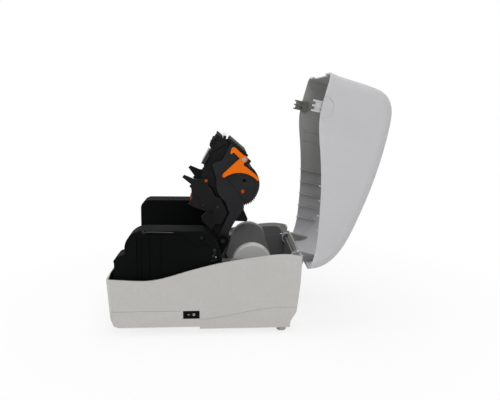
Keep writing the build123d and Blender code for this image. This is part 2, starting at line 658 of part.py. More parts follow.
with BuildPart() as print_frame:
    with BuildSketch(SIDE.offset(CHEEK_X)):
        near_side()
        ear()
    extrude(amount=CHEEK_T)
    with BuildSketch(SIDE.offset(-CHEEK_X - CHEEK_T)):
        far_side()
        ear()
    extrude(amount=CHEEK_T)
    for x in (-CHEEK_X, CHEEK_X - 5.4):
        round_bar(SIDE.offset(x), MODULE_PIVOT, 7.5, 5.4)
    plate(SIDE.offset(-CHEEK_X - 1), CHUTE + shifted(CHUTE[::-1], -0.6, -2.4), 2 * CHEEK_X + 2)
    with BuildSketch(SIDE.offset(-CHEEK_X - 1)):
        outline([(BEAM_Y[0], 72), (BEAM_Y[1], 72), (BEAM_Y[1], 88), (BEAM_Y[0], 92)])
        outline([(60, 66), (64, 66), (64, 54), (60, 56)])
        outline([(140, 66), (144, 66), (144, 57), (140, 57)])
    extrude(amount=2 * CHEEK_X + 2)
    with BuildSketch(SIDE.offset(-CHEEK_X - CHEEK_T - 1)):
        with Locations(PLATEN):
            Circle(BUSH_R + BORE)
        with Locations(MODULE_PIVOT):
            Circle(3.0 + BORE)
    extrude(amount=2 * (CHEEK_X + CHEEK_T + 1), mode=Mode.SUBTRACT)
    round_bar(SIDE.offset(CHEEK_X - 1), IDLER, 3.0, CHEEK_T + 2, mode=Mode.SUBTRACT)
    for x in (-CHEEK_X - CHEEK_T, CHEEK_X - 5):
        for y in (40, 120):
            block(x, x + 8, y, y + 10, BELLY + WALL, 67)
    block(-CHEEK_X - 1, CHEEK_X + 1, SENSOR_Y - 3, SENSOR_Y + 3, 36.5, 38.5)
    for x in (-CHEEK_X - 1, CHEEK_X - 2):
        block(x, x + 3, SENSOR_Y - 3, SENSOR_Y + 3, 36.5, 67)
print_frame.part.label = "print_frame"
export_step(print_frame.part, "parts/print_frame.step")

with BuildPart() as near_gear_housing:
    with BuildSketch(SIDE.offset(CHEEK_X + CHEEK_T)):
        near_side()
    extrude(amount=HOUSING_X - CHEEK_X - CHEEK_T)
    with BuildSketch(SIDE.offset(CHEEK_X + CHEEK_T)):
        near_side()
        offset(amount=-SKIN, mode=Mode.REPLACE)
    extrude(amount=HOUSING_X - CHEEK_X - CHEEK_T - SKIN, mode=Mode.SUBTRACT)
    for y in (43, 49.5, 61.5, 78):
        block(HOUSING_X - 0.9, HOUSING_X + 1, y, y + 1.6, 70, 143, mode=Mode.SUBTRACT)
    block(HOUSING_X - 0.9, HOUSING_X + 1, 60, 103, 146.6, 147.8, mode=Mode.SUBTRACT)
near_gear_housing.part.label = "near_gear_housing"
export_step(near_gear_housing.part, "parts/near_gear_housing.step")

with BuildPart() as far_housing:
    with BuildSketch(SIDE.offset(-HOUSING_X)):
        far_side()
    extrude(amount=HOUSING_X - CHEEK_X - CHEEK_T)
    with BuildSketch(SIDE.offset(-HOUSING_X + SKIN)):
        far_side()
        offset(amount=-SKIN, mode=Mode.REPLACE)
    extrude(amount=HOUSING_X - CHEEK_X - CHEEK_T - SKIN, mode=Mode.SUBTRACT)
far_housing.part.label = "far_housing"
export_step(far_housing.part, "parts/far_housing.step")

with BuildPart() as front_apron:
    with BuildSketch(SIDE.offset(0.5 - HOUSING_X)):
        outline([(4.8, 70), (3.6, 82), (3.6, 85), (5.0, 90.5), (9.6, 95), (15.6, 95),
                 (15.6, 93.2), (10.4, 93.2), (6.8, 89.6), (5.4, 84.6), (5.4, 82), (6.6, 70)])
    extrude(amount=2 * HOUSING_X - 1)
    for x0, x1 in ((-HOUSING_X - 2, SLIP - CHEEK_X), (CHEEK_X - SLIP, HOUSING_X + 2)):
        block(x0, x1, 8.6, 20, 60, 100, mode=Mode.SUBTRACT)
    block(-CHEEK_X + SLIP, CHEEK_X - SLIP, 14.0, BEAM_Y[0], 78, 80)
    block(-CHEEK_X + SLIP, CHEEK_X - SLIP, 14.0, 15.6, 78, 95)
front_apron.part.label = "front_apron"
export_step(front_apron.part, "parts/front_apron.step")

with BuildPart() as tear_bar:
    with BuildSketch(SIDE.offset(-54)):
        outline([(17.2, 82), (18.9, 82), (18.9, 96.4), (18.3, 97.4), (17.2, 96.0)])
    extrude(amount=108)
    with BuildSketch(SIDE.offset(-54)):
        outline([(17.0, 95.6), (19.0, 95.6), (19.0, 98), (17.0, 98)])
    extrude(amount=108, mode=Mode.SUBTRACT)
    with BuildSketch(Plane(origin=(0, FRONT + 17.6, 95.6), x_dir=(1, 0, 0), z_dir=(0, 1, 0))):
        for i in range(-26, 26):
            outline([(i * 2.0, 0.2), (i * 2.0 + 2.0, 0.2), (i * 2.0 + 1.0, -1.6)])
    extrude(amount=1.0)
tear_bar.part.label = "tear_bar"
export_step(tear_bar.part, "parts/tear_bar.step")

# Platen, its bushes and the gear train to the stepping motor
with BuildPart() as platen_roller:
    with BuildSketch(SIDE.offset(-PLATEN_L / 2)):
        with Locations(PLATEN):
            Circle(PLATEN_R)
            Circle(SHAFT_R + 1, mode=Mode.SUBTRACT)
    extrude(amount=PLATEN_L)
platen_roller.part.label = "platen_roller"
export_step(platen_roller.part, "parts/platen_roller.step")

with BuildPart() as platen_shaft:
    round_bar(SIDE.offset(-PLATEN_L / 2 - 0.4), PLATEN, SHAFT_R + 1, PLATEN_L + 0.8)
    round_bar(SIDE.offset(-CHEEK_X - 5), PLATEN, SHAFT_R, CHEEK_X + GEAR_X + GEAR_W + 5.5)
platen_shaft.part.label = "platen_shaft"
export_step(platen_shaft.part, "parts/platen_shaft.step")

with BuildPart() as platen_bushes:
    for x in (-CHEEK_X - CHEEK_T, CHEEK_X):
        with BuildSketch(SIDE.offset(x)):
            with Locations(PLATEN):
                Circle(BUSH_R)
                Circle(SHAFT_R + BORE, mode=Mode.SUBTRACT)
        extrude(amount=CHEEK_T)
        with BuildSketch(SIDE.offset(x - 1 if x > 0 else x + CHEEK_T)):
            with Locations(PLATEN):
                Circle(BUSH_R + 1.5)
                Circle(SHAFT_R + BORE, mode=Mode.SUBTRACT)
        extrude(amount=1.0)
platen_bushes.part.label = "platen_bushes"
export_step(platen_bushes.part, "parts/platen_bushes.step")

with BuildPart() as platen_gear:
    toothed(SIDE.offset(GEAR_X), PLATEN, PLATEN_TEETH, GEAR_W)
    round_bar(SIDE.offset(GEAR_X), PLATEN, SHAFT_R, GEAR_W, mode=Mode.SUBTRACT)
platen_gear.part.label = "platen_gear"
export_step(platen_gear.part, "parts/platen_gear.step")

with BuildPart() as idler_gear:
    toothed(SIDE.offset(GEAR_X), IDLER, IDLER_TEETH, GEAR_W, start=IDLER_START)
    round_bar(SIDE.offset(GEAR_X), IDLER, 3.0 + BORE, GEAR_W, mode=Mode.SUBTRACT)
    with BuildSketch(SIDE.offset(GEAR_X + 4)):
        with Locations(IDLER):
            Circle(16)
            Circle(6, mode=Mode.SUBTRACT)
    extrude(amount=GEAR_W, mode=Mode.SUBTRACT)
idler_gear.part.label = "idler_gear"
export_step(idler_gear.part, "parts/idler_gear.step")

with BuildPart() as motor_pinion:
    toothed(SIDE.offset(GEAR_X), MOTOR, PINION_TEETH, GEAR_W, start=PINION_START)
    round_bar(SIDE.offset(GEAR_X - 0.5), MOTOR, 2.5, PLATE_X + PLATE_T + 8 - GEAR_X)
motor_pinion.part.label = "motor_pinion"
export_step(motor_pinion.part, "parts/motor_pinion.step")

PLATE_PINS = [(45, 122), (120, 122), (120, 84)]
with BuildPart() as motor_plate:
    with BuildSketch(SIDE.offset(PLATE_X)):
        outline([(24, 74), (118, 74), (124, 80), (124, 126), (42, 126), (24, 104)])
        with Locations(MOTOR):
            Circle(6.0, mode=Mode.SUBTRACT)
    extrude(amount=PLATE_T)
    for p in PLATE_PINS:
        round_bar(SIDE.offset(CHEEK_X + CHEEK_T), p, 2.5, PLATE_X - CHEEK_X - CHEEK_T)
    round_bar(SIDE.offset(CHEEK_X), IDLER, 3.0, PLATE_X - CHEEK_X)
motor_plate.part.label = "motor_plate"
export_step(motor_plate.part, "parts/motor_plate.step")

with BuildPart() as stepper_motor:
    round_bar(SIDE.offset(PLATE_X + PLATE_T), MOTOR, MOTOR_R, MOTOR_L)
    with BuildSketch(SIDE.offset(PLATE_X + PLATE_T)):
        outline([(MOTOR[0] - 26, MOTOR[1] - 5), (MOTOR[0] + 26, MOTOR[1] - 5),
                 (MOTOR[0] + 26, MOTOR[1] + 5), (MOTOR[0] - 26, MOTOR[1] + 5)])
    extrude(amount=1.2)
    round_bar(SIDE.offset(PLATE_X), MOTOR, 5.5, PLATE_T)
    round_bar(SIDE.offset(PLATE_X - 1), MOTOR, 2.5 + BORE, 10.5, mode=Mode.SUBTRACT)
stepper_motor.part.label = "stepper_motor"
export_step(stepper_motor.part, "parts/stepper_motor.step")

# Label sensor on its rail under the chute
with BuildPart() as label_sensor:
    block(-9, 9, SENSOR_Y - 8, SENSOR_Y + 8, 38.5, 42.2)
    block(-9, 9, SENSOR_Y - 5, SENSOR_Y - 3 - BORE, 35, 39)
    block(-9, 9, SENSOR_Y + 3 + BORE, SENSOR_Y + 5, 35, 39)
label_sensor.part.label = "label_sensor"
export_step(label_sensor.part, "parts/label_sensor.step")


# Print module: frame between two pairs of side plates, drawn open
FRAME_T = 2.5
PLATE_WALL = 2.0
MODULE_BORE = 3.0
TAB = [(180.2, 282.2), (205.0, 260.6), (202.6, 257.4), (176.9, 278.0)]
UPPER_PLATE = [(166, 119.5), (178.5, 141), (187.6, 156.8), (200.6, 175.3), (200, 213), (207.9, 243),
               (211.8, 247.9), (206.5, 252.8), (202.6, 257.4), (181, 274.7), (175.6, 264.5),
               (167.8, 249.1), (154.3, 245.3), (152.4, 242.4), (160.9, 216), (170.5, 191.4),
               (178.2, 168.6), (174, 160), (160.5, 130)]
LOWER_PLATE = [(107, 224.2), (109.9, 227.8), (126.2, 220.9), (133.9, 221.1), (141, 221.8),
               (146.2, 219), (146.2, 211.5), (150.2, 207.3), (155.9, 196.4), (165.5, 171.7),
               (164.5, 164.8), (155.6, 150.2), (152, 140), (147, 146), (137, 156), (135, 163), (143, 171.5), (128, 177),
               (115.2, 183), (122, 191.8), (120.3, 207.5), (117.4, 210.4), (120.3, 213.3)]
BRACKET_FOOT = [(156.5, 151.5), (164, 151.5), (171, 160), (174.5, 169), (165, 191), (150, 196),
                (150, 160)]
CORE = [(147.2, 244.6), (151, 230), (156, 217), (162.5, 204), (170, 182), (171, 165), (165, 152),
        (164, 140)]
FRAME_SIDE = [(159.5, 122), (154, 139), (157, 150), (166, 166), (166.5, 172), (157, 197),
              (151, 208), (144, 214), (135.5, 222.5), (137.5, 237), (142.2, 241.2), (151.6, 257.8),
              (152.9, 261.0), (166.8, 268.9), (176, 276.5), (181, 274.2), (202, 256.8), (206, 250),
              (200, 225), (199, 200), (199.6, 175.3), (186.8, 156.8), (177.6, 141), (176, 122)]
REWIND_TEETH = 44
HEAD_BEAM = [(146.5, 244), (160, 258), (178, 262)]
BEAM_T = 3.0


def along(points, thick):
    """Closed strip outline of a given thickness along a line of points."""
    left, right = [], []
    for i, (y, z) in enumerate(points):
        y0, z0 = points[max(i - 1, 0)]
        y1, z1 = points[min(i + 1, len(points) - 1)]
        reach = sqrt((y1 - y0) ** 2 + (z1 - z0) ** 2)
        ny, nz = -(z1 - z0) / reach * thick / 2, (y1 - y0) / reach * thick / 2
        left.append((y + ny, z + nz))
        right.append((y - ny, z - nz))
    return left + right[::-1]


def hinge_eye(radius=7.5):
    """Round eye about the module's hinge, inside the current sketch."""
    with Locations(MODULE_PIVOT):
        Circle(radius)


with BuildPart() as module_frame:
    for x in (-FRAME_X, FRAME_X - FRAME_T):
        with BuildSketch(SIDE.offset(x)):
            outline(FRAME_SIDE)
            with Locations(DISC):
                Circle(DISC_R - 3)
            hinge_eye()
        extrude(amount=FRAME_T)
    with BuildSketch(SIDE.offset(-FRAME_X)):
        outline(along(CORE, 4.0))
        outline(along(HEAD_BEAM, BEAM_T))
    extrude(amount=2 * FRAME_X)
    with BuildSketch(SIDE.offset(-FRAME_X - 1)):
        with Locations(MODULE_PIVOT, REWIND):
            Circle(MODULE_BORE + BORE)
        with Locations((201.1, 218.8)):
            Circle(2.6)
    extrude(amount=2 * FRAME_X + 2, mode=Mode.SUBTRACT)
module_frame.part.label = "module_frame"
export_step(module_frame.part, "parts/module_frame.step")

with BuildPart() as near_side_plate:
    with BuildSketch(SIDE.offset(FRAME_X)):
        outline(UPPER_PLATE)
        with Locations(DISC):
            Circle(DISC_R)
        hinge_eye()
    extrude(amount=MODULE_X - FRAME_X)
    with BuildSketch(SIDE.offset(FRAME_X)):
        with Locations(DISC):
            Circle(DISC_R - PLATE_WALL)
        with Locations(REWIND):
            Circle(24.5)
    extrude(amount=MODULE_X - FRAME_X - PLATE_WALL, mode=Mode.SUBTRACT)
    with BuildSketch(SIDE.offset(FRAME_X - 1)):
        with Locations(MODULE_PIVOT):
            Circle(MODULE_BORE + BORE)
        with Locations(REWIND):
            Circle(3.4)
        with Locations((201.1, 218.8)):
            Circle(2.6)
        with Locations(LEVER_PIVOT):
            Circle(1.5 + BORE)
    extrude(amount=20, mode=Mode.SUBTRACT)
    plate(SIDE.offset(MODULE_X - 0.7), along([(175.4, 220.8), (183.2, 210.9), (192.8, 198.1),
                                               (202.6, 185.2)], 0.9), 2, mode=Mode.SUBTRACT)
near_side_plate.part.label = "near_side_plate"
export_step(near_side_plate.part, "parts/near_side_plate.step")

with BuildPart() as far_side_plate:
    with BuildSketch(SIDE.offset(-MODULE_X)):
        outline(UPPER_PLATE)
        with Locations(DISC):
            Circle(DISC_R - 3)
        outline([(176, 136.4), (192, 168), (199, 172.5), (203.2, 155.8), (210.3, 138.5), (208.7, 134.6)])
        hinge_eye()
    extrude(amount=MODULE_X - FRAME_X)
    with BuildSketch(SIDE.offset(-MODULE_X - 1)):
        with Locations(MODULE_PIVOT, REWIND):
            Circle(MODULE_BORE + BORE)
        with Locations((201.1, 218.8)):
            Circle(2.6)
    extrude(amount=20, mode=Mode.SUBTRACT)
far_side_plate.part.label = "far_side_plate"
export_step(far_side_plate.part, "parts/far_side_plate.step")

with BuildPart() as near_spool_bracket:
    with BuildSketch(SIDE.offset(MODULE_X - 3)):
        outline(LOWER_PLATE)
    extrude(amount=3)
    with BuildSketch(SIDE.offset(FRAME_X)):
        outline(BRACKET_FOOT)
    extrude(amount=MODULE_X - FRAME_X)
    with BuildSketch(SIDE.offset(FRAME_X - 1)):
        with Locations((137, 182)):
            Ellipse(2.6, 1.9)
        with Locations(SUPPLY):
            Circle(2.5 + BORE)
    extrude(amount=20, mode=Mode.SUBTRACT)
    with BuildSketch(SIDE.offset(MODULE_X - 1.2)):
        with Locations((150.9, 170.1)):
            Rectangle(6, 5, rotation=-55)
    extrude(amount=3, mode=Mode.SUBTRACT)
near_spool_bracket.part.label = "near_spool_bracket"
export_step(near_spool_bracket.part, "parts/near_spool_bracket.step")

with BuildPart() as far_spool_bracket:
    with BuildSketch(SIDE.offset(-MODULE_X)):
        outline(shifted(LOWER_PLATE[:5], 3.4, 3.0) + LOWER_PLATE[5:])
    extrude(amount=3)
    with BuildSketch(SIDE.offset(-MODULE_X)):
        outline(BRACKET_FOOT)
    extrude(amount=MODULE_X - FRAME_X)
    round_bar(SIDE.offset(-MODULE_X - 1), SUPPLY, 2.5 + BORE, 10, mode=Mode.SUBTRACT)
far_spool_bracket.part.label = "far_spool_bracket"
export_step(far_spool_bracket.part, "parts/far_spool_bracket.step")

# Spindles with their hubs
SUPPLY_CORE_X = 34.0
with BuildPart() as supply_spindle:
    with BuildSketch(SIDE.offset(-SUPPLY_CORE_X)):
        with Locations(SUPPLY):
            Circle(SPINDLE_R - 1)
            with PolarLocations(SPINDLE_R - 1, 3):
                Circle(1.6)
    extrude(amount=2 * SUPPLY_CORE_X)
    round_bar(SIDE.offset(-MODULE_X + 0.5), SUPPLY, 2.5, 2 * MODULE_X - 1.0)
supply_spindle.part.label = "supply_spindle"
export_step(supply_spindle.part, "parts/supply_spindle.step")

with BuildPart() as supply_hubs:
    for x in (-SUPPLY_CORE_X - 8, SUPPLY_CORE_X):
        with BuildSketch(SIDE.offset(x)):
            with Locations(SUPPLY):
                Circle(HUB_R)
                Circle(2.5, mode=Mode.SUBTRACT)
        extrude(amount=8)
    fillet(supply_hubs.edges().filter_by(GeomType.CIRCLE).filter_by(lambda e: e.radius > HUB_R - 1),
           radius=1.2)
supply_hubs.part.label = "supply_hubs"
export_step(supply_hubs.part, "parts/supply_hubs.step")

REWIND_CORE_X = 39.0
with BuildPart() as rewind_spindle:
    with BuildSketch(SIDE.offset(-REWIND_CORE_X)):
        with Locations(REWIND):
            Circle(SPINDLE_R)
            with PolarLocations(SPINDLE_R, 3, start_angle=30):
                Circle(1.6)
    extrude(amount=2 * REWIND_CORE_X)
    round_bar(SIDE.offset(-MODULE_X + 0.5), REWIND, MODULE_BORE, 2 * MODULE_X - 3.0)
rewind_spindle.part.label = "rewind_spindle"
export_step(rewind_spindle.part, "parts/rewind_spindle.step")

with BuildPart() as rewind_gear:
    toothed(SIDE.offset(FRAME_X + 0.6), REWIND, REWIND_TEETH, 4.0)
    round_bar(SIDE.offset(FRAME_X), REWIND, MODULE_BORE, 6.0, mode=Mode.SUBTRACT)
    with BuildSketch(SIDE.offset(FRAME_X + 3.2)):
        with Locations(REWIND):
            Circle(18)
            Circle(7, mode=Mode.SUBTRACT)
    extrude(amount=4, mode=Mode.SUBTRACT)
rewind_gear.part.label = "rewind_gear"
export_step(rewind_gear.part, "parts/rewind_gear.step")

with BuildPart() as rewind_cap:
    round_bar(SIDE.offset(MODULE_X - 2.5), REWIND, 3.0, 2.9)
    fillet(rewind_cap.faces().sort_by(Axis.X)[-1].edges(), radius=0.8)
rewind_cap.part.label = "rewind_cap"
export_step(rewind_cap.part, "parts/rewind_cap.step")

# Print head on its bracket, drawn along the line of the open head
HEAD_A = (144.5, 260.9)
HEAD_B = (135.7, 245.2)
HEAD_X = 53.0
HEAD_LEN = sqrt((HEAD_A[0] - HEAD_B[0]) ** 2 + (HEAD_A[1] - HEAD_B[1]) ** 2)
HEAD_N = ((HEAD_A[1] - HEAD_B[1]) / HEAD_LEN, -(HEAD_A[0] - HEAD_B[0]) / HEAD_LEN)


def head_layer(near, far, shrink=0.0):
    """Outline of a layer of the head, between two depths behind its printing face."""
    uy, uz = (HEAD_B[0] - HEAD_A[0]) / HEAD_LEN, (HEAD_B[1] - HEAD_A[1]) / HEAD_LEN
    ay, az = HEAD_A[0] + uy * shrink, HEAD_A[1] + uz * shrink
    by, bz = HEAD_B[0] - uy * shrink, HEAD_B[1] - uz * shrink
    ny, nz = HEAD_N
    return [(ay + ny * near, az + nz * near), (by + ny * near, bz + nz * near),
            (by + ny * far, bz + nz * far), (ay + ny * far, az + nz * far)]


with BuildPart() as print_head:
    plate(SIDE.offset(-HEAD_X), head_layer(0, 1.2), 2 * HEAD_X)
print_head.part.label = "print_head"
export_step(print_head.part, "parts/print_head.step")

with BuildPart() as head_heat_sink:
    plate(SIDE.offset(-HEAD_X), head_layer(1.2, 5.0, 0.6), 2 * HEAD_X)
    for x in (-38, 0, 38):
        block(x - 3, x + 3, 141, 145, 246, 250, mode=Mode.SUBTRACT)
head_heat_sink.part.label = "head_heat_sink"
export_step(head_heat_sink.part, "parts/head_heat_sink.step")

FIN_X = (-39.0, -23.4, -7.8, 7.8, 23.4, 39.0)
FIN_T = 5.0
GUIDE_ROLLER = (171.5, 284.0)
FINS = [[(158.4, 288.6), (160.2, 289.4), (168.0, 282.5), (164.5, 279.0)],
        [(155.6, 283.0), (157.0, 284.2), (163.0, 279.0), (160.5, 275.5)],
        [(151.2, 279.0), (152.6, 281.2), (155.6, 281.0), (160.0, 275.5), (156.5, 271.5)],
        [(148.2, 271.0), (148.8, 275.0), (152.0, 275.4), (157.0, 271.0), (153.0, 265.5)]]
with BuildPart() as head_bracket:
    plate(SIDE.offset(8 - HEAD_X), [(147.6, 259.6), (148.2, 263), (154.5, 272), (160, 278),
                                    (166, 281.5), (170, 279.5), (174.5, 275.8), (166, 269.5),
                                    (152.5, 261.5), (150.6, 257.2)], 2 * HEAD_X - 16)
    plate(SIDE.offset(8 - HEAD_X), head_layer(5.0, 7.0, -0.6), 2 * HEAD_X - 16)
    for x in FIN_X:
        for fin in FINS:
            plate(SIDE.offset(x - FIN_T / 2), fin, FIN_T)
    for x in (-43.5, 41.5):
        plate(SIDE.offset(x), [(169.4, 278.6), (172.6, 276.9), (173.6, 279), (173.6, 286.2),
                               (169.6, 286.2)], 2.0)
    round_bar(SIDE.offset(-43.5), GUIDE_ROLLER, 1.2, 87)
head_bracket.part.label = "head_bracket"
export_step(head_bracket.part, "parts/head_bracket.step")

SPRING_R = 2.5
HEAD_WIRE = 0.8
SPRING_TURNS = 3
SPRING_PITCH = 1.4
SPRING_LEAN = (-0.45, 0.893)
SPRING_RISE = 1.95
SPRING_FOOT = (HEAD_BEAM[1][0] + SPRING_RISE * SPRING_LEAN[0],
               HEAD_BEAM[1][1] + SPRING_RISE * SPRING_LEAN[1])
head_coils = [coil(Plane(origin=(x, FRONT + SPRING_FOOT[0], SPRING_FOOT[1]), x_dir=(1, 0, 0),
                         z_dir=(0, *SPRING_LEAN)), SPRING_R, HEAD_WIRE, SPRING_TURNS, SPRING_PITCH)
              for x in (-20, 20)]
with BuildPart() as head_springs:
    for winding in head_coils:
        add(winding)
head_springs.part.label = "head_springs"
export_step(head_springs.part, "parts/head_springs.step")

with BuildPart() as guide_roller:
    with BuildSketch(SIDE.offset(-40)):
        with Locations(GUIDE_ROLLER):
            Circle(3.0)
            Circle(1.2 + BORE, mode=Mode.SUBTRACT)
    extrude(amount=80)
guide_roller.part.label = "guide_roller"
export_step(guide_roller.part, "parts/guide_roller.step")

with BuildPart() as top_cover:
    plate(SIDE.offset(-46), TAB, 92)
    plate(SIDE.offset(46), [(182.5, 279.0), (203.6, 260.6), (202.65, 257.5), (178.6, 276.8)],
          MODULE_X - 46)
    plate(SIDE.offset(-MODULE_X), [(182.5, 279.0), (203.6, 260.6), (202.65, 257.5),
                                   (178.6, 276.8)], MODULE_X - 46)
top_cover.part.label = "top_cover"
export_step(top_cover.part, "parts/top_cover.step")

# Release lever, screwed to the near side plate
with BuildPart() as release_lever:
    with BuildSketch(SIDE.offset(LEVER_X)):
        with BuildLine() as rim:
            Polyline((172.5, 224.8), (170.1, 223.4), (167.4, 225.4), (169.2, 229.6), (194.3, 252.8),
                     (185.2, 262), (183.9, 261), (181.8, 258.8), (180.2, 261), (181.6, 266.8))
            ThreePointArc((181.6, 266.8), (184.6, 269.3), (189, 267.7))
            Polyline((189, 267.7), (199.6, 258), (205.4, 254.4), (206.6, 251), (200.2, 245.5),
                     (200.5, 241.6), (205.3, 238.7), (217.9, 227.9), (223.2, 222.4),
                     (222.9, 218.4), (220.8, 218.6))
            ThreePointArc((220.8, 218.6), (199.6, 230.4), (172.5, 224.8))
        make_face()
        with Locations(LEVER_PIVOT):
            Circle(5.2)
    extrude(amount=LEVER_T)
    with BuildSketch(SIDE.offset(LEVER_X)):
        with Locations(LEVER_PIVOT):
            Circle(1.5 + BORE)
        with Locations((170.3, 226.0)):
            Circle(0.8)
    extrude(amount=LEVER_T, mode=Mode.SUBTRACT)
release_lever.part.label = "release_lever"
export_step(release_lever.part, "parts/release_lever.step")

with BuildPart() as lever_screw:
    round_bar(SIDE.offset(FRAME_X + 1), LEVER_PIVOT, 1.5, LEVER_X + LEVER_T - FRAME_X - 1)
    round_bar(SIDE.offset(LEVER_X + LEVER_T), LEVER_PIVOT, 3.2, 1.1)
    with BuildSketch(SIDE.offset(LEVER_X + LEVER_T + 0.4)):
        with Locations(LEVER_PIVOT):
            Rectangle(3.6, 0.9)
            Rectangle(0.9, 3.6)
    extrude(amount=2, mode=Mode.SUBTRACT)
lever_screw.part.label = "lever_screw"
export_step(lever_screw.part, "parts/lever_screw.step")

MODULE_SCREWS = [(143.1, 218.7), (160.5, 178.0)]
with BuildPart() as module_screws:
    for p in MODULE_SCREWS:
        round_bar(SIDE.offset(MODULE_X), p, 2.2, 0.9)
module_screws.part.label = "module_screws"
export_step(module_screws.part, "parts/module_screws.step")

with BuildPart() as module_pins:
    for x in (-CHEEK_X - CHEEK_T, FRAME_X - FRAME_T):
        round_bar(SIDE.offset(x), MODULE_PIVOT, MODULE_BORE, CHEEK_X + CHEEK_T - FRAME_X + FRAME_T)
module_pins.part.label = "module_pins"
export_step(module_pins.part, "parts/module_pins.step")


# Cover: drawn shut on a plane turned back about its hinge, so that it stands open
CATCH_YS = (42.0, 49.0, 56.0)
CATCH_TINE = 2.6
CATCH_TOP = 94.0
ARM_T = BARREL_L - 2 * SLIP


def cover_side():
    """Side outline of the shut cover, inside the current sketch."""
    with BuildLine() as edge:
        Spline(*COVER_ROOF)
        Spline(COVER_ROOF[0], *[(y, z + RIM_GAP) for y, z in RIM[1:-1]], COVER_ROOF[-1])
    return make_face(edge.edges())


def long_edges(solid, x):
    """The two long edges where the roof of the cover meets its sides."""
    sides = solid.edges().filter_by(lambda e: abs(abs(e.center().X) - x) < 0.1)
    return sides.sort_by(SortBy.LENGTH)[-2:]


def drawn_in(points, margin):
    """Points of a line moved to its right-hand side by a margin."""
    moved = []
    for i, (y, z) in enumerate(points):
        y0, z0 = points[max(i - 1, 0)]
        y1, z1 = points[min(i + 1, len(points) - 1)]
        reach = sqrt((y1 - y0) ** 2 + (z1 - z0) ** 2)
        moved.append((y + (z1 - z0) / reach * margin, z - (y1 - y0) / reach * margin))
    return moved


def cover_hollow():
    """Inside of the cover as a solid that reaches down past its rim."""
    with BuildSketch(LID.offset(WALL - HALF)) as inside:
        with BuildLine() as edge:
            Spline((-1.5, 62), *drawn_in(COVER_ROOF, WALL), (289, 84))
            Line((289, 84), (-1.5, 62))
        make_face(edge.edges())
    hollow = extrude(inside.sketch, amount=WIDTH - 2 * WALL, mode=Mode.PRIVATE)
    roof = [e for e in hollow.edges() if abs(abs(e.center().X) - HALF + WALL) < 0.1]
    roof = ShapeList(roof).sort_by(SortBy.LENGTH)[-2:]
    return hollow.fillet(ROOF_EDGE_R - WALL, roof)


with BuildPart() as cover_shell:
    with BuildSketch(LID.offset(-HALF)):
        cover_side()
    extrude(amount=WIDTH)
    fillet(long_edges(cover_shell, HALF), radius=ROOF_EDGE_R)
    add(cover_hollow(), mode=Mode.SUBTRACT)
    for side in (-1, 1):
        for y, foot in RIBS:
            x0 = HALF - WALL - RIB_IN if side > 0 else WALL - HALF - 0.5
            with BuildSketch(LID.offset(x0)):
                outline([(y - RIB_T / 2, foot), (y - RIB_T / 2, RIB_TOP),
                         (y + RIB_T / 2, RIB_TOP), (y + RIB_T / 2, foot)])
            extrude(amount=RIB_IN + 0.5)
            x0 = HALF - WALL - RIB_IN if side > 0 else WALL + 0.8 - HALF
            with BuildSketch(LID.offset(x0)):
                outline([(y - RIB_T / 2, foot - RIB_FOOT), (y - RIB_T / 2, foot + 1),
                         (y + RIB_T / 2, foot + 1), (y + RIB_T / 2, foot - RIB_FOOT)])
            extrude(amount=RIB_IN - 0.8)
    with BuildSketch(LID.offset(-LABEL_SLOT[0] / 2)):
        slot_top = COVER_ROOF[0][1] + LABEL_SLOT[1]
        outline([(-6, 70), (-6, slot_top), (10, slot_top), (10, 70)])
    extrude(amount=LABEL_SLOT[0], mode=Mode.SUBTRACT)
    for x in (-HALF - 1, HALF - GRIP_DEPTH):
        round_bar(LID.offset(x), (GRIP_Y, GRIP_Z), GRIP_R, GRIP_DEPTH + 1, mode=Mode.SUBTRACT)
cover_shell.part.label = "cover_shell"
export_step(cover_shell.part, "parts/cover_shell.step")

with BuildPart() as cover_arms:
    for x0 in (-HINGE_X - BARREL_L + SLIP, HINGE_X + SLIP):
        with BuildSketch(LID.offset(x0)):
            with Locations(COVER_PIVOT):
                Circle(BARREL_R)
            outline([(270.5, 104.5), (269.6, 108.4), (271.8, 136.5), (274.6, 132.6),
                     (278.7, 125.2), (282.0, 115.2), (282.2, 108), (288.3, 101.1)])
            with Locations(COVER_PIVOT):
                Circle(PIN_R + BORE, mode=Mode.SUBTRACT)
        extrude(amount=ARM_T)
cover_arms.part.label = "cover_arms"
export_step(cover_arms.part, "parts/cover_arms.step")

PIN_INNER = 63.0
with BuildPart() as cover_pins:
    for x0 in (-POST_X[1], PIN_INNER):
        round_bar(SIDE.offset(x0), COVER_PIVOT, PIN_R, POST_X[1] - PIN_INNER)
cover_pins.part.label = "cover_pins"
export_step(cover_pins.part, "parts/cover_pins.step")

with BuildPart() as cover_catches:
    for x0, x1 in ((CATCH_X, CATCH_X + CATCH_T - 0.5), (-CATCH_X - CATCH_T, -HALF + WALL)):
        with BuildSketch(LID.offset(x0)):
            half = CATCH_TINE / 2
            outline([(CATCH_YS[0] - half, CATCH_BAR_Z), (CATCH_YS[0] - half, CATCH_TOP),
                     (CATCH_YS[2] + half, CATCH_TOP), (CATCH_YS[2] + half, CATCH_BAR_Z)])
            for y in CATCH_YS:
                outline([(y - half, CATCH_BAR_Z + 1), (y - half, CATCH_BAR_Z - CATCH_DROP),
                         (y + half, CATCH_BAR_Z - CATCH_DROP), (y + half, CATCH_BAR_Z + 1)])
        extrude(amount=CATCH_T)
        with BuildSketch(LID.offset(x1)):
            outline([(CATCH_YS[0], CATCH_BAR_Z + 3), (CATCH_YS[0], CATCH_TOP),
                     (CATCH_YS[2], CATCH_TOP), (CATCH_YS[2], CATCH_BAR_Z + 3)])
        extrude(amount=HALF - WALL - CATCH_X - CATCH_T + 0.5)
cover_catches.part.label = "cover_catches"
export_step(cover_catches.part, "parts/cover_catches.step")

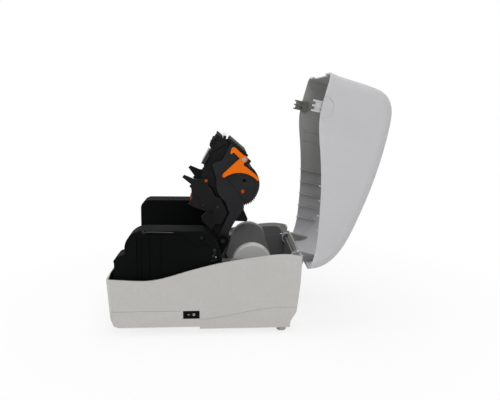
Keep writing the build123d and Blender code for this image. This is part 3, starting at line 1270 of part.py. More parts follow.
# Torsion springs on the hinge pins, between barrel and post
COVER_WIRE = 1.2
COVER_TURNS = 2
COVER_PITCH = 1.8
COVER_COIL_R = 5.0
COVER_LEG = 11.0
hinge_coils = [coil(Plane(origin=(x, FRONT + COVER_PIVOT[0], COVER_PIVOT[1]), x_dir=(0, 0, 1),
                          z_dir=(1, 0, 0)), COVER_COIL_R, COVER_WIRE, COVER_TURNS, COVER_PITCH,
                    COVER_LEG)
               for x in (HINGE_X + BARREL_L + 1.1, -POST_X[0] + 1.3)]
with BuildPart() as cover_springs:
    for winding in hinge_coils:
        add(winding)
cover_springs.part.label = "cover_springs"
export_step(cover_springs.part, "parts/cover_springs.step")
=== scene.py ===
# %% [markdown]
# # A desktop label printer, standing open
#
# The printer's solids come from the frame: every node is already in its place, in metres,
# with +Z up, +Y from the label exit towards the cover hinge and +X towards the side with
# the power switch. This lesson dresses them. It gives each part the finish of the real
# one, adds the small parts that are easier to shape as surfaces than as solids, and sets
# up a plain studio.

import bpy
import numpy as np
from mathutils import Matrix


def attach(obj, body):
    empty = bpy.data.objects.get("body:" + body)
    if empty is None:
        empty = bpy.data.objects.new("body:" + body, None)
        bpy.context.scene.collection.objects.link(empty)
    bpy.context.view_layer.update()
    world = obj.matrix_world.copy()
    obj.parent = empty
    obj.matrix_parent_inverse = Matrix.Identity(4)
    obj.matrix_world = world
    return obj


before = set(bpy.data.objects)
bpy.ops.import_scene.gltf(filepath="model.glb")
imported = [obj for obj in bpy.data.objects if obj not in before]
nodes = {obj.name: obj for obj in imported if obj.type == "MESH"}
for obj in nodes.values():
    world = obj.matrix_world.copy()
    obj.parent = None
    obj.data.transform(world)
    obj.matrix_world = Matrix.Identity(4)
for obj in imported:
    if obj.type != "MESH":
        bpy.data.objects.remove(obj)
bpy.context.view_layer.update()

# %% [markdown]
# ## Where the measurements start
#
# Depths on the drawings count from the front rim of the base. One small function turns a
# drawing point in millimetres into a point of the frame in metres, so the rest of the
# lesson can use the drawing's own numbers.

# %% Drawing millimetres to frame metres
MM = 0.001
FRONT_RIM_Y = -206.1


def placed(points):
    """Rows of (x, depth, height) in millimetres, moved by the front rim and scaled."""
    p = np.asarray(points, dtype=float).reshape(-1, 3)
    return (p + np.array([0.0, FRONT_RIM_Y, 0.0])) * MM


# %% [markdown]
# ## Camera
#
# The photograph looks at the side with the switch, a little from above, with its horizon
# high in the picture. A camera that is turned further down would make the upright edges
# lean more. Here the camera keeps the direction that was fitted to the photograph, about 6
# degrees down, and the rest is done with lens shift, as a product photographer does it.

# %% Camera at the photograph's angle
FOCAL_MM, SENSOR_MM, SHIFT_UP = 40.75, 36.0, -0.08
CAMERA_PLACE = (0.905, -0.03675, 0.33898)
PICTURE_RIGHT = np.array([0.0474, 0.9989, 0.0])
PICTURE_DOWN = np.array([0.1036, -0.0049, -0.9946])


def pose_matrix(right, up, back, place):
    """Matrix whose columns are right, up, back and the place, for a camera or a lamp."""
    pose = np.eye(4)
    pose[:3] = np.column_stack([right, up, back, place])
    return Matrix(pose.tolist())


camera_data = bpy.data.cameras.new("studio_camera")
camera_data.sensor_fit = "HORIZONTAL"
camera_data.sensor_width, camera_data.lens = SENSOR_MM, FOCAL_MM
camera_data.shift_y = SHIFT_UP
camera_data.clip_start, camera_data.clip_end = 0.05, 50.0
camera = bpy.data.objects.new("studio_camera", camera_data)
bpy.context.scene.collection.objects.link(camera)
camera_back = np.cross(PICTURE_DOWN, PICTURE_RIGHT)
camera_back /= np.linalg.norm(camera_back)
camera.matrix_world = pose_matrix(PICTURE_RIGHT, -PICTURE_DOWN, camera_back, CAMERA_PLACE)
bpy.context.scene.camera = camera
print("camera looks along", np.round(-camera_back, 3))

# %% [markdown]
# ## Shared surface effects
#
# Moulded plastic is never one flat colour. The mould leaves a fine grain, the colour
# drifts a little over a large wall, dust settles on faces that look up, and corners are
# rubbed lighter. The grain is one node group, the three changes of colour are a second, and
# the fine lines on metal are a third, so that the finishes can share them. A group gives out
# only a colour, a mask or a normal: the shader itself stays in the material.

# %% Helpers for node groups


def new_group(name, inputs, outputs):
    """Empty group with its sockets; each socket is (name, kind, default)."""
    group = bpy.data.node_groups.new(name, "ShaderNodeTree")
    for label, kind, default in inputs:
        socket = group.interface.new_socket(label, in_out="INPUT", socket_type="NodeSocket" + kind)
        socket.default_value = default
    for label, kind in outputs:
        group.interface.new_socket(label, in_out="OUTPUT", socket_type="NodeSocket" + kind)
    return group, group.nodes.new("NodeGroupInput"), group.nodes.new("NodeGroupOutput")


def fill(tree, sockets, terms):
    """Each term goes into its socket: an output is linked, a plain value is written."""
    for socket, term in zip(sockets, terms):
        if isinstance(term, bpy.types.NodeSocket):
            tree.links.new(term, socket)
        else:
            socket.default_value = term


def node(tree, kind, **values):
    """New node; a value goes to the property, or else to the input, of that name."""
    made = tree.nodes.new("ShaderNode" + kind)
    for key, value in values.items():
        if hasattr(made, key):
            setattr(made, key, value)
        else:
            fill(tree, [made.inputs[key.replace("_", " ").title()]], [value])
    return made


print("helpers: new_group, fill, node")

# %% Helpers for single steps


def math(tree, operation, *terms):
    """Output of a Math node over sockets or numbers."""
    made = node(tree, "Math", operation=operation)
    fill(tree, made.inputs, terms)
    return made.outputs["Value"]


def vectors(tree, operation, *terms):
    """Output of a Vector Math node; a product or a length gives a number."""
    made = node(tree, "VectorMath", operation=operation)
    fill(tree, made.inputs, terms)
    return made.outputs["Value" if operation in ("DOT_PRODUCT", "LENGTH") else "Vector"]


def part_of(tree, vector, axis):
    """One coordinate of a vector: X, Y or Z."""
    return node(tree, "SeparateXYZ", vector=vector).outputs[axis]


def ranged(tree, value, low, high, to_low=0.0, to_high=1.0, **values):
    """Value mapped from low..high to to_low..to_high, and held at the ends."""
    made = node(tree, "MapRange", **values)
    fill(tree, made.inputs, (value, low, high, to_low, to_high))
    return made.outputs[0]


MIX_SHARE, MIX_FIRST, MIX_SECOND, MIXED_COLOUR = 0, 6, 7, 2


def mixed(tree, share, first, second, **values):
    """Colour = (1 - share) x first + share x second, or another blend of the two."""
    made = node(tree, "Mix", data_type="RGBA", **values)
    sockets = [made.inputs[i] for i in (MIX_SHARE, MIX_FIRST, MIX_SECOND)]
    fill(tree, sockets, (share, first, second))
    return made.outputs[MIXED_COLOUR]


def noise(tree, where, **values):
    """Grey noise read at a position."""
    return node(tree, "TexNoise", vector=where, **values).outputs["Fac"]


def bumped(tree, height, strength, distance):
    """Normal of a surface that is raised by a height."""
    made = node(tree, "Bump", strength=strength, distance=distance)
    tree.links.new(height, made.inputs["Height"])
    return made.outputs["Normal"]


print("helpers: math, vectors, part_of, ranged, mixed, noise, bumped")

# %% Grain of the mould
COARSE_SHARE = 0.35
GRAIN_HEIGHT = 0.0002  # metres


def mould_grain():
    """Height = fine noise + share x coarse noise in object space, turned into a normal."""
    group, given, out = new_group(
        "mould grain",
        [("Grain", "Float", 900.0), ("Depth", "Float", 0.2)],
        [("Normal", "Vector")],
    )
    where = node(group, "TexCoord").outputs["Object"]
    fine = noise(group, where, scale=given.outputs["Grain"], detail=3.0, roughness=0.6)
    coarse = noise(group, where, scale=70.0, detail=2.0)
    height = math(group, "MULTIPLY_ADD", coarse, COARSE_SHARE, fine)
    fill(group, out.inputs, [bumped(group, height, given.outputs["Depth"], GRAIN_HEIGHT)])
    return group


GRAIN = mould_grain()
print("group", GRAIN.name)

# %% Drift of the colour, dust on top and rubbed corners
NOISE_LOW, NOISE_HIGH = 0.3, 0.7  # most values of a noise lie between these
CORNER_FROM, CORNER_TO = 0.52, 0.62  # pointiness of a slightly and of a fully convex edge
UPWARD_FROM = 0.6  # dust starts where the normal points this much upwards
DUST_COLOUR = (0.62, 0.61, 0.58, 1.0)


def lived_in_colour():
    """Colour = base x slow noise, lighter on convex corners, greyer where it faces up."""
    group, given, out = new_group(
        "lived-in colour",
        [
            ("Colour", "Color", (0.5, 0.5, 0.5, 1.0)),
            ("Rubbed", "Color", (0.7, 0.7, 0.7, 1.0)),
            ("Drift", "Float", 0.08),
            ("Wear", "Float", 0.4),
            ("Dust", "Float", 0.06),
        ],
        [("Colour", "Color"), ("Mask", "Float")],
    )
    told = given.outputs
    where = node(group, "TexCoord").outputs["Object"]
    shape = node(group, "NewGeometry").outputs
    slow = noise(group, where, scale=14.0, detail=4.0)
    darkest = math(group, "SUBTRACT", 1.0, told["Drift"])
    level = ranged(group, slow, NOISE_LOW, NOISE_HIGH, darkest, 1.0)
    shaded = mixed(group, 1.0, told["Colour"], level, blend_type="MULTIPLY")
    corner = ranged(group, shape["Pointiness"], CORNER_FROM, CORNER_TO)
    patchy = math(group, "MULTIPLY", corner, noise(group, where, scale=260.0, detail=3.0))
    worn = math(group, "MULTIPLY", patchy, told["Wear"])
    rubbed = mixed(group, worn, shaded, told["Rubbed"])
    upward = ranged(group, part_of(group, shape["Normal"], "Z"), UPWARD_FROM, 1.0)
    settled = math(group, "MULTIPLY", upward, told["Dust"])
    fill(group, out.inputs, (mixed(group, settled, rubbed, DUST_COLOUR), slow))
    return group


LIVED_IN = lived_in_colour()
print("group", LIVED_IN.name)

# %% Fine lines left by turning, grinding or drawing
LINE_HEIGHT = 0.0001  # metres


def drawn_lines():
    """Height = noise in object space, stretched by a vector; gives a normal and a mask."""
    group, given, out = new_group(
        "drawn lines",
        [("Stretch", "Vector", (1.0, 1.0, 1.0)), ("Depth", "Float", 0.2)],
        [("Normal", "Vector"), ("Mask", "Float")],
    )
    where = node(group, "TexCoord").outputs["Object"]
    along = vectors(group, "MULTIPLY", where, given.outputs["Stretch"])
    lines = noise(group, along, scale=1.0, detail=4.0, roughness=0.7)
    normal = bumped(group, lines, given.outputs["Depth"], LINE_HEIGHT)
    fill(group, out.inputs, (normal, lines))
    return group


LINES = drawn_lines()
print("group", LINES.name)

# %% [markdown]
# ## Finishes
#
# One recipe serves all the mouldings: the lived-in colour, a roughness that follows it a
# little, and the grain. What differs is written in a table of plain numbers per finish.
# Uniform values, such as sheen or specular level, go straight onto the shader's sockets.

# %% One recipe for the mouldings


def new_finish(name):
    """Material with nodes; gives the material, its node tree and its shader."""
    made = bpy.data.materials.new(name)
    made.use_nodes = True
    return made, made.node_tree, made.node_tree.nodes["Principled BSDF"]


def covered(made, shader, colour, rough, normal):
    """Colour, roughness and normal sockets go to the shader; the view's colour is plain."""
    names = ("Base Color", "Roughness", "Normal")
    fill(made.node_tree, [shader.inputs[label] for label in names],
         (colour.outputs["Colour"], rough, normal))
    made.diffuse_color = colour.inputs["Colour"].default_value
    return made


def moulded(name, colour, rough, grain=900.0, depth=0.2, drift=0.07, wear=0.35, dust=0.04,
            lighter=1.5, level=0.5):
    """Moulded plastic or rubber: group colours, followed roughness and grain."""
    made, tree, shader = new_finish(name)
    rubbed = [min(1.0, c * lighter + 0.02) for c in colour]
    tone = node(tree, "Group", node_tree=LIVED_IN, colour=(*colour, 1.0),
                rubbed=(*rubbed, 1.0), drift=drift, wear=wear, dust=dust)
    skin = node(tree, "Group", node_tree=GRAIN, grain=grain, depth=depth)
    followed = ranged(tree, tone.outputs["Mask"], NOISE_LOW, NOISE_HIGH, *rough)
    shader.inputs["Specular IOR Level"].default_value = level
    return covered(made, shader, tone, followed, skin.outputs["Normal"])


FINISH = {
    "base_shell_grey": moulded("base_shell_grey", (0.47, 0.462, 0.442), (0.42, 0.55),
                               grain=1800.0, depth=0.08, drift=0.03, level=0.35),
    "cover_shell_grey": moulded("cover_shell_grey", (0.50, 0.50, 0.51), (0.38, 0.50),
                                grain=1800.0, depth=0.08, drift=0.03, level=0.35),
    "hinge_arm_grey": moulded("hinge_arm_grey", (0.24, 0.24, 0.245), (0.45, 0.6)),
    "bay_grey": moulded("bay_grey", (0.15, 0.15, 0.155), (0.5, 0.65), depth=0.3, level=0.3),
    # Painted shade: the far media guide gets a darker grey than the near guide.
    "far_guide_shaded_grey": moulded("far_guide_shaded_grey", (0.21, 0.21, 0.21), (0.5, 0.65), depth=0.3,
                               level=0.3),
    "guide_grey": moulded("guide_grey", (0.52, 0.515, 0.505), (0.45, 0.6)),
    "housing_black": moulded("housing_black", (0.003, 0.0033, 0.0033), (0.65, 0.78), depth=0.3,
                             lighter=3.0, wear=0.1, dust=0.001, level=0.04),
    "mechanism_black": moulded("mechanism_black", (0.005, 0.005, 0.0055), (0.55, 0.7),
                               depth=0.25, lighter=3.0, wear=0.2, dust=0.003, level=0.12),
    "side_plate_black": moulded("side_plate_black", (0.0095, 0.0098, 0.011), (0.42, 0.55),
                                lighter=3.0, wear=0.2, dust=0.004, level=0.14),
    "lever_orange": moulded("lever_orange", (0.80, 0.148, 0.001), (0.45, 0.55), lighter=1.1,
                            dust=0.0, level=0.06),
    "hub_orange": moulded("hub_orange", (0.40, 0.062, 0.002), (0.5, 0.6), lighter=1.2,
                          dust=0.0, level=0.08),
    "switch_black": moulded("switch_black", (0.003, 0.003, 0.003), (0.45, 0.55), depth=0.05,
                            lighter=3.0, dust=0.0, level=0.05),
    "button_green": moulded("button_green", (0.06, 0.26, 0.10), (0.25, 0.35), depth=0.1),
    "gear_acetal": moulded("gear_acetal", (0.70, 0.68, 0.62), (0.3, 0.42), depth=0.1),
    "roller_white": moulded("roller_white", (0.74, 0.73, 0.70), (0.3, 0.45), depth=0.1),
    "platen_rubber": moulded("platen_rubber", (0.018, 0.018, 0.019), (0.6, 0.75), grain=1500.0,
                             depth=0.4, level=0.3),
    "foot_rubber": moulded("foot_rubber", (0.55, 0.55, 0.54), (0.7, 0.85), depth=0.4,
                           level=0.3),
    "chip_black": moulded("chip_black", (0.015, 0.015, 0.016), (0.4, 0.6), depth=0.3),
}
print(len(FINISH), "moulded finishes")

# %% [markdown]
# Metal parts are the second family. A turned pin shows rings round its axis, drawn wire
# shows lines along it, and zinc-plated sheet has large dull crystals. A stretched noise
# gives lines: the noise is squeezed along one axis and drawn out along the others.

# %% Metals


def metal(name, colour, rough, stretch, depth):
    """Bare metal: lines from the stretched noise in both roughness and normal."""
    made, tree, shader = new_finish(name)
    rubbed = [min(1.0, c * 1.3) for c in colour]
    tone = node(tree, "Group", node_tree=LIVED_IN, colour=(*colour, 1.0),
                rubbed=(*rubbed, 1.0), drift=0.15)
    lines = node(tree, "Group", node_tree=LINES, stretch=stretch, depth=depth)
    followed = ranged(tree, lines.outputs["Mask"], NOISE_LOW, NOISE_HIGH, *rough)
    shader.inputs["Metallic"].default_value = 1.0
    return covered(made, shader, tone, followed, lines.outputs["Normal"])


FINISH["turned_steel"] = metal("turned_steel", (0.55, 0.55, 0.56), (0.22, 0.38),
                               (3000.0, 60.0, 60.0), 0.2)
FINISH["spring_wire"] = metal("spring_wire", (0.62, 0.62, 0.62), (0.2, 0.32),
                              (300.0, 300.0, 300.0), 0.1)
FINISH["zinc_sheet"] = metal("zinc_sheet", (0.60, 0.60, 0.58), (0.32, 0.5),
                             (160.0, 160.0, 160.0), 0.15)
FINISH["sink_anodised"] = metal("sink_anodised", (0.035, 0.035, 0.04), (0.35, 0.5),
                                (90.0, 2500.0, 2500.0), 0.3)
FINISH["blackened_steel"] = metal("blackened_steel", (0.03, 0.03, 0.032), (0.35, 0.5),
                                  (2000.0, 60.0, 60.0), 0.2)
FINISH["screw_steel"] = metal("screw_steel", (0.36, 0.36, 0.365), (0.3, 0.45),
                              (60.0, 900.0, 900.0), 0.2)
FINISH["dull_steel"] = metal("dull_steel", (0.07, 0.064, 0.067), (0.5, 0.65),
                             (900.0, 60.0, 900.0), 0.2)
print("metals added,", len(FINISH), "finishes")

# %% [markdown]
# ## Boards, ceramic and lamp
#
# A circuit board shows copper runs as slightly lighter green lines under the lacquer. A
# brick pattern with thin joints gives straight runs with right-angled steps, which reads
# as routing from a distance. The head's ceramic is glazed, and its fine dark line where the
# heating dots are is left out of the finish. The status lamp is a clear light guide.

# %% Circuit board
LACQUER_HEIGHT = 0.00005  # metres
QUARTER_TURN = 1.5708


def lacquered_board(name):
    """Green lacquer; mask = joints of a fine brick pattern, lighter as copper under it."""
    made, tree, shader = new_finish(name)
    where = node(tree, "TexCoord").outputs["Object"]
    upright = node(tree, "Mapping", vector=where, rotation=(0.0, QUARTER_TURN, 0.0))
    runs = node(tree, "TexBrick", vector=upright.outputs[0], scale=220.0, mortar_size=0.06,
                color1=(0.010, 0.11, 0.045, 1.0), color2=(0.012, 0.13, 0.05, 1.0),
                mortar=(0.05, 0.26, 0.10, 1.0))
    normal = bumped(tree, runs.outputs["Fac"], 0.3, LACQUER_HEIGHT)
    fill(tree, [shader.inputs[label] for label in ("Base Color", "Normal", "Roughness")],
         (runs.outputs["Color"], normal, 0.28))
    return made


FINISH["board_green"] = lacquered_board("board_green")
FINISH["head_ceramic"] = moulded("head_ceramic", (0.035, 0.032, 0.03), (0.15, 0.25),
                                 depth=0.02, drift=0.2, level=0.3)
FINISH["lamp_clear"] = moulded("lamp_clear", (0.25, 0.62, 0.28), (0.08, 0.12), depth=0.02)
lamp_shader = FINISH["lamp_clear"].node_tree.nodes["Principled BSDF"]
lamp_shader.inputs["Transmission Weight"].default_value = 0.4
print("all", len(FINISH), "finishes")

# %% [markdown]
# ## Inside of the cover
#
# The cover is one moulding, but its inside is not textured or lit like its outside. Here its
# inside faces get painted shade, a darker grey that stands in for the shadow in the hollow of
# the open cover. A face belongs to the inside where its normal points towards a point in the
# middle of the hollow, so the mask is the sign of a dot product. Object coordinates keep the
# mask in place when the cover swings. Low down by the hinge the inside gets painted light, a
# paler grey, so a second mask fades in there. The two catches are one moulding too, and the
# far one gets painted shade, a darker grey than the near one; that mask only compares one
# coordinate with a limit. Inside their rims the hinge barrels get painted shade, a near-black
# disc, and there the mask is the distance from the hinge's axis.

# %% Second colour for part of a moulding: painted light and shade


# Used for painted light and shade: a second colour laid over part of a moulding.
def paint_light_and_shade(name, other, mask):
    """Colour = mask x other + (1 - mask) x what the finish had before."""
    tree = FINISH[name].node_tree
    tone = next(n for n in tree.nodes if n.type == "GROUP" and n.node_tree == LIVED_IN)
    colour = tone.inputs["Colour"]
    before = colour.links[0].from_socket if colour.is_linked else tuple(colour.default_value)
    tree.links.new(mixed(tree, mask, before, (*other, 1.0)), colour)


def facing_point(tree, point):
    """Mask = 1 where (point - position) . normal > 0, else 0, in object space."""
    where = node(tree, "TexCoord").outputs
    towards = vectors(tree, "SUBTRACT", point, where["Object"])
    return math(tree, "GREATER_THAN", vectors(tree, "DOT_PRODUCT", towards, where["Normal"]), 0.0)


def near_half(tree):
    """Mask = 1 on the near half, where the object coordinate X is greater than 0."""
    where = node(tree, "TexCoord").outputs["Object"]
    return math(tree, "GREATER_THAN", part_of(tree, where, "X"), 0.0)


def lower_part(tree, mask, high, low):
    """Mask x share, where the share grows from 0 at the high level to 1 at the low one."""
    where = node(tree, "TexCoord").outputs["Object"]
    return math(tree, "MULTIPLY", ranged(tree, part_of(tree, where, "Z"), high, low), mask)


def round_axis(tree, point, radius):
    """Mask = 1 where the distance from a line along X through a point is below a radius."""
    where = node(tree, "TexCoord").outputs["Object"]
    arm = vectors(tree, "SUBTRACT", where, point)
    flat = vectors(tree, "MULTIPLY", arm, (0.0, 1.0, 1.0))
    return math(tree, "LESS_THAN", vectors(tree, "LENGTH", flat), radius)


print("helpers: paint_light_and_shade and four masks")

# %% Painted shade and light on the cover, its arms and its catches
HOLLOW_MIDDLE = (0.0, 0.1198, 0.2287)
# The paler inside low down by the hinge is painted light.
PALE_FROM, PALE_FULL = 0.23, 0.12  # heights between which the inside turns paler
COVER_HINGE = np.array([279.5, 101.1])  # depth and height of the hinge's axis
BARREL_SHADE_R = 0.0072
cover_tree = FINISH["cover_shell_grey"].node_tree
# The cover's inside faces get painted shade, a darker grey, and low down by the hinge painted
# light, a paler grey.
hollow = facing_point(cover_tree, HOLLOW_MIDDLE)
paint_light_and_shade("cover_shell_grey", (0.35, 0.348, 0.335), hollow)
paint_light_and_shade("cover_shell_grey", (0.66, 0.66, 0.68),
          lower_part(cover_tree, hollow, PALE_FROM, PALE_FULL))
hinge_point = tuple(placed([(0.0, *COVER_HINGE)])[0])
# Painted shade: a near-black disc inside the rims of the hinge barrels stands in for the shadow in
# their holes.
paint_light_and_shade("hinge_arm_grey", (0.05, 0.052, 0.045),
          round_axis(FINISH["hinge_arm_grey"].node_tree, hinge_point, BARREL_SHADE_R))
# Painted shade: the far catch gets a dark grey and the near catch a paler grey, one moulding shaded
# on the far side.
FINISH["catch_grey_far_shaded"] = moulded("catch_grey_far_shaded", (0.14, 0.135, 0.12), (0.45, 0.6))
paint_light_and_shade("catch_grey_far_shaded", (0.56, 0.56, 0.59), near_half(FINISH["catch_grey_far_shaded"].node_tree))
# The print lists the parts that get painted light and shade.
print("hinge axis", np.round(hinge_point, 4), "painted-light-and-shade: cover, hinge arms, catches")

# %% [markdown]
# ## Dressing the solids
#
# Each solid gets one finish. A table from finish to parts is easier to check against the
# real printer than a list of assignments, and the loop can say at once if a part has been
# forgotten.

# %% Finishes onto the solids
DRESSED = {
    "base_shell_grey": ["base_case", "bottom_tray", "port_panel"],
    "cover_shell_grey": ["cover_shell"],
    "hinge_arm_grey": ["cover_arms"],
    "catch_grey_far_shaded": ["cover_catches"],
    "bay_grey": ["media_tub", "guide_pinion"],
    # The far guide's darker grey is painted shade.
    "far_guide_shaded_grey": ["far_media_guide"],
    "guide_grey": ["near_media_guide"],
    "housing_black": ["near_gear_housing", "far_housing", "front_apron", "print_frame"],
    "mechanism_black": ["module_frame", "near_spool_bracket", "far_spool_bracket",
                        "head_bracket", "top_cover", "supply_spindle", "rewind_spindle",
                        "label_sensor", "rewind_gear"],
    "side_plate_black": ["near_side_plate", "far_side_plate"],
    "lever_orange": ["release_lever"],
    "hub_orange": ["supply_hubs", "rewind_cap"],
    "switch_black": ["switch_frame", "power_rocker"],
    "button_green": ["feed_button"],
    "gear_acetal": ["platen_gear", "idler_gear", "platen_bushes"],
    "roller_white": ["guide_roller"],
    "platen_rubber": ["platen_roller"],
    "foot_rubber": ["rubber_feet"],
    "chip_black": ["board_parts", "power_inlet", "network_socket"],
    "turned_steel": ["platen_shaft", "case_screws", "motor_pinion", "tear_bar"],
    "blackened_steel": ["module_pins", "cover_pins", "module_screws"],
    "screw_steel": ["lever_screw"],
    "spring_wire": ["cover_springs", "head_springs"],
    "zinc_sheet": ["motor_plate", "stepper_motor", "usb_socket"],
    "sink_anodised": ["head_heat_sink"],
    "board_green": ["main_board", "button_board"],
    "head_ceramic": ["print_head"],
    "lamp_clear": ["status_lamp"],
}
for finish, members in DRESSED.items():
    for member in members:
        slots = nodes[member].data.materials
        slots.clear()
        slots.append(FINISH[finish])
forgotten = sorted(set(nodes) - {m for group in DRESSED.values() for m in group})
print("parts without a finish:", forgotten)

# %% [markdown]
# ## Surfaces from grids
#
# The small parts below are surfaces with two parameters: one runs along a path, the other
# round a profile. Numpy works out all the points at once, and the same function joins
# them into four-sided faces. This is quicker and easier to change than editing by hand.

# %% Grid to mesh


def grid_quads(rows, columns):
    """Corner numbers of the faces of a grid that closes round its columns."""
    r, c = np.meshgrid(np.arange(rows - 1), np.arange(columns), indexing="ij")
    here, beside = r * columns + c, r * columns + (c + 1) % columns
    return np.stack([here, beside, beside + columns, here + columns], -1).reshape(-1, 4)


def surface(name, rows, body, finish):
    """Mesh through rows of points, one closed ring per row, with both ends capped."""
    count, around = rows.shape[:2]
    faces = grid_quads(count, around).tolist()
    faces += [list(range(around))[::-1], list(range((count - 1) * around, count * around))]
    mesh = bpy.data.meshes.new(name)
    mesh.from_pydata(rows.reshape(-1, 3).tolist(), [], faces)
    mesh.polygons.foreach_set("use_smooth", np.full(len(faces), True))
    mesh.materials.append(FINISH[finish])
    mesh.update()
    piece = bpy.data.objects.new(name, mesh)
    bpy.context.scene.collection.objects.link(piece)
    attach(piece, body)


SIDE_FROM = (0.35, 0.2, 0.9)  # no path below runs along this direction


def tube(path, radius, around=10):
    """Rings round a path: ring = point + radius x (cos a x side + sin a x up)."""
    p = placed(path)
    ahead = np.gradient(p, axis=0)
    ahead /= np.linalg.norm(ahead, axis=1, keepdims=True)
    side = np.cross(ahead, SIDE_FROM)
    side /= np.linalg.norm(side, axis=1, keepdims=True)
    up = np.cross(side, ahead)
    a = np.linspace(0, 2 * np.pi, around, endpoint=False)
    ring = np.cos(a)[None, :, None] * side[:, None] + np.sin(a)[None, :, None] * up[:, None]
    return p[:, None] + ring * radius * MM


def raised(outline_points, x_low, x_high, soften=0.4):
    """Plate with a softened upper rim: row = outline - outward x inset, at rising x."""
    o = np.asarray(outline_points, dtype=float)
    middle = o.mean(axis=0)
    reach = np.linalg.norm(o - middle, axis=1, keepdims=True)
    outward = (o - middle) / reach
    steps = [(x_low, 0.0), (x_high - soften, 0.0), (x_high - 0.3 * soften, 0.3 * soften),
             (x_high, soften)]
    rows = [np.c_[np.full(len(o), x), o - outward * inset] for x, inset in steps]
    return np.stack([placed(r).reshape(-1, 3) for r in rows])


print("grid of 3 x 4 gives", len(grid_quads(3, 4)), "faces")

# %% [markdown]
# ## Marks on the power switch
#
# A rocker switch carries a bar for on and a ring for off. They are printed on the rocker
# in pale ink, so they are thin raised surfaces that lie on its face and tip with it.

# %% Bar and ring on the rocker
MARK_HEIGHT = 30.0
RING_X, RING_DEPTH, RING_R, RING_LINE_R = 107.15, 125.6, 1.5, 0.28
BAR_X, BAR_FROM, BAR_TO, BAR_LINE_R = 107.1, 116.6, 119.4, 0.32


def ring_path(x, centre, radius, count):
    """Closed path = centre + radius x (cos a, sin a), at one x, with its end on its start."""
    a = np.linspace(0, 2 * np.pi, count)
    return np.c_[np.full(count, x), centre[0] + radius * np.cos(a), centre[1] + radius * np.sin(a)]


FINISH["ink_white"] = moulded("ink_white", (0.80, 0.80, 0.78), (0.4, 0.5), depth=0.02)
ring_mark = ring_path(RING_X, (RING_DEPTH, MARK_HEIGHT), RING_R, count=33)
bar_mark = np.linspace((BAR_X, BAR_FROM, MARK_HEIGHT), (BAR_X, BAR_TO, MARK_HEIGHT), 9)
for name, path, line_r in (("switch_ring_mark", ring_mark, RING_LINE_R),
                           ("switch_bar_mark", bar_mark, BAR_LINE_R)):
    surface(name, tube(path, line_r, around=8), "rocker", "ink_white")
print("switch marks:", len(ring_mark), "and", len(bar_mark), "points")

# %% [markdown]
# ## Small parts on the near housing
#
# The black housing on the switch side carries a dull steel bar with a hooked end along its
# top edge, a curved ridge, a round boss, and a cluster of dark knobs where the wiring comes
# through. They are all small and sit on one flat face, so tubes along short paths and low
# discs are enough. The knobs next to the cover's ribs stay low, so that the cover can shut.

# %% Curves and circles on the housing's face
HOUSING_FACE_X = 98.0


def round_outline(centre, radius, around=24):
    """Circle = centre + radius x (cos a, sin a), as rows of (depth, height)."""
    a = np.linspace(0, 2 * np.pi, around, endpoint=False)
    return np.asarray(centre) + radius * np.c_[np.cos(a), np.sin(a)]


def eased(points, count=40):
    """Curve through points: Catmull-Rom pieces, evenly sampled in the parameter."""
    p = np.asarray(points, dtype=float)
    p = np.vstack([2 * p[0] - p[1], p, 2 * p[-1] - p[-2]])
    t = np.linspace(0, len(p) - 3 - 1e-6, count)
    i, f = t.astype(int), (t % 1)[:, None]
    a, b, c, d = p[i], p[i + 1], p[i + 2], p[i + 3]
    return 0.5 * (2 * b + (c - a) * f + (2 * a - 5 * b + 4 * c - d) * f ** 2
                  + (3 * b - a - 3 * c + d) * f ** 3)


def face_tube(name, points, count, lift, radius, finish):
    """Tube along an eased curve through (depth, height) points, lifted off the face."""
    path = np.c_[np.full(count, HOUSING_FACE_X + lift), eased(points, count)]
    surface(name, tube(path, radius), "base", finish)


def stud(name, centre, radius, height, soften, finish, foot=-0.1, around=24):
    """Disc on the face, from its foot, a little inside, up to its height."""
    disc = raised(round_outline(centre, radius, around), HOUSING_FACE_X + foot,
                  HOUSING_FACE_X + height, soften)
    surface(name, disc, "base", finish)


print("housing face at x =", HOUSING_FACE_X, "mm")

# %% Bar, ridge, boss and knobs
BAR_LINE = [(57, 150.9), (76, 150.6), (97, 149.6)]
HOOK_LINE = [(57.2, 150.8), (54.2, 149.4), (52.4, 150.4), (52.6, 152.0), (54.4, 152.0)]
RIDGE_LINE = [(108, 146), (119, 136), (130, 128.5), (140, 132.5), (149.5, 127.3)]
BOSS = (137.5, 142.0)
BOSS_HEIGHT = 1.6
KNOBS = [((156.0, 123.0), 3.0, 2.6), ((156.6, 117.9), 1.7, 1.6), ((154.5, 114.5), 2.6, 3.2),
         ((157.4, 108.6), 2.0, 1.6), ((152.5, 107.5), 2.0, 2.0)]
face_tube("housing_bar", BAR_LINE, 16, 0.4, 0.7, "dull_steel")
face_tube("housing_hook", HOOK_LINE, 30, 0.6, 0.6, "dull_steel")
face_tube("housing_ridge", RIDGE_LINE, 40, 0.1, 0.9, "housing_black")
stud("housing_boss", BOSS, 5.2, BOSS_HEIGHT, 0.8, "housing_black")
stud("housing_boss_pin", BOSS, 2.0, BOSS_HEIGHT + 1.0, 0.5,
     "side_plate_black", foot=BOSS_HEIGHT - 0.1)
for number, (centre, radius, height) in enumerate(KNOBS):
    stud(f"wiring_knob_{number}", centre, radius, height, 0.7,
         "side_plate_black")
stud("wiring_bead", (158.0, 112.8), 0.8, 1.2, 0.3, "roller_white", around=12)
print(len(KNOBS), "knobs, one bar, one ridge and one boss")

# %% [markdown]
# ## Orange pin end on the print module
#
# The head of one pin in the near spool bracket is orange like the hubs.

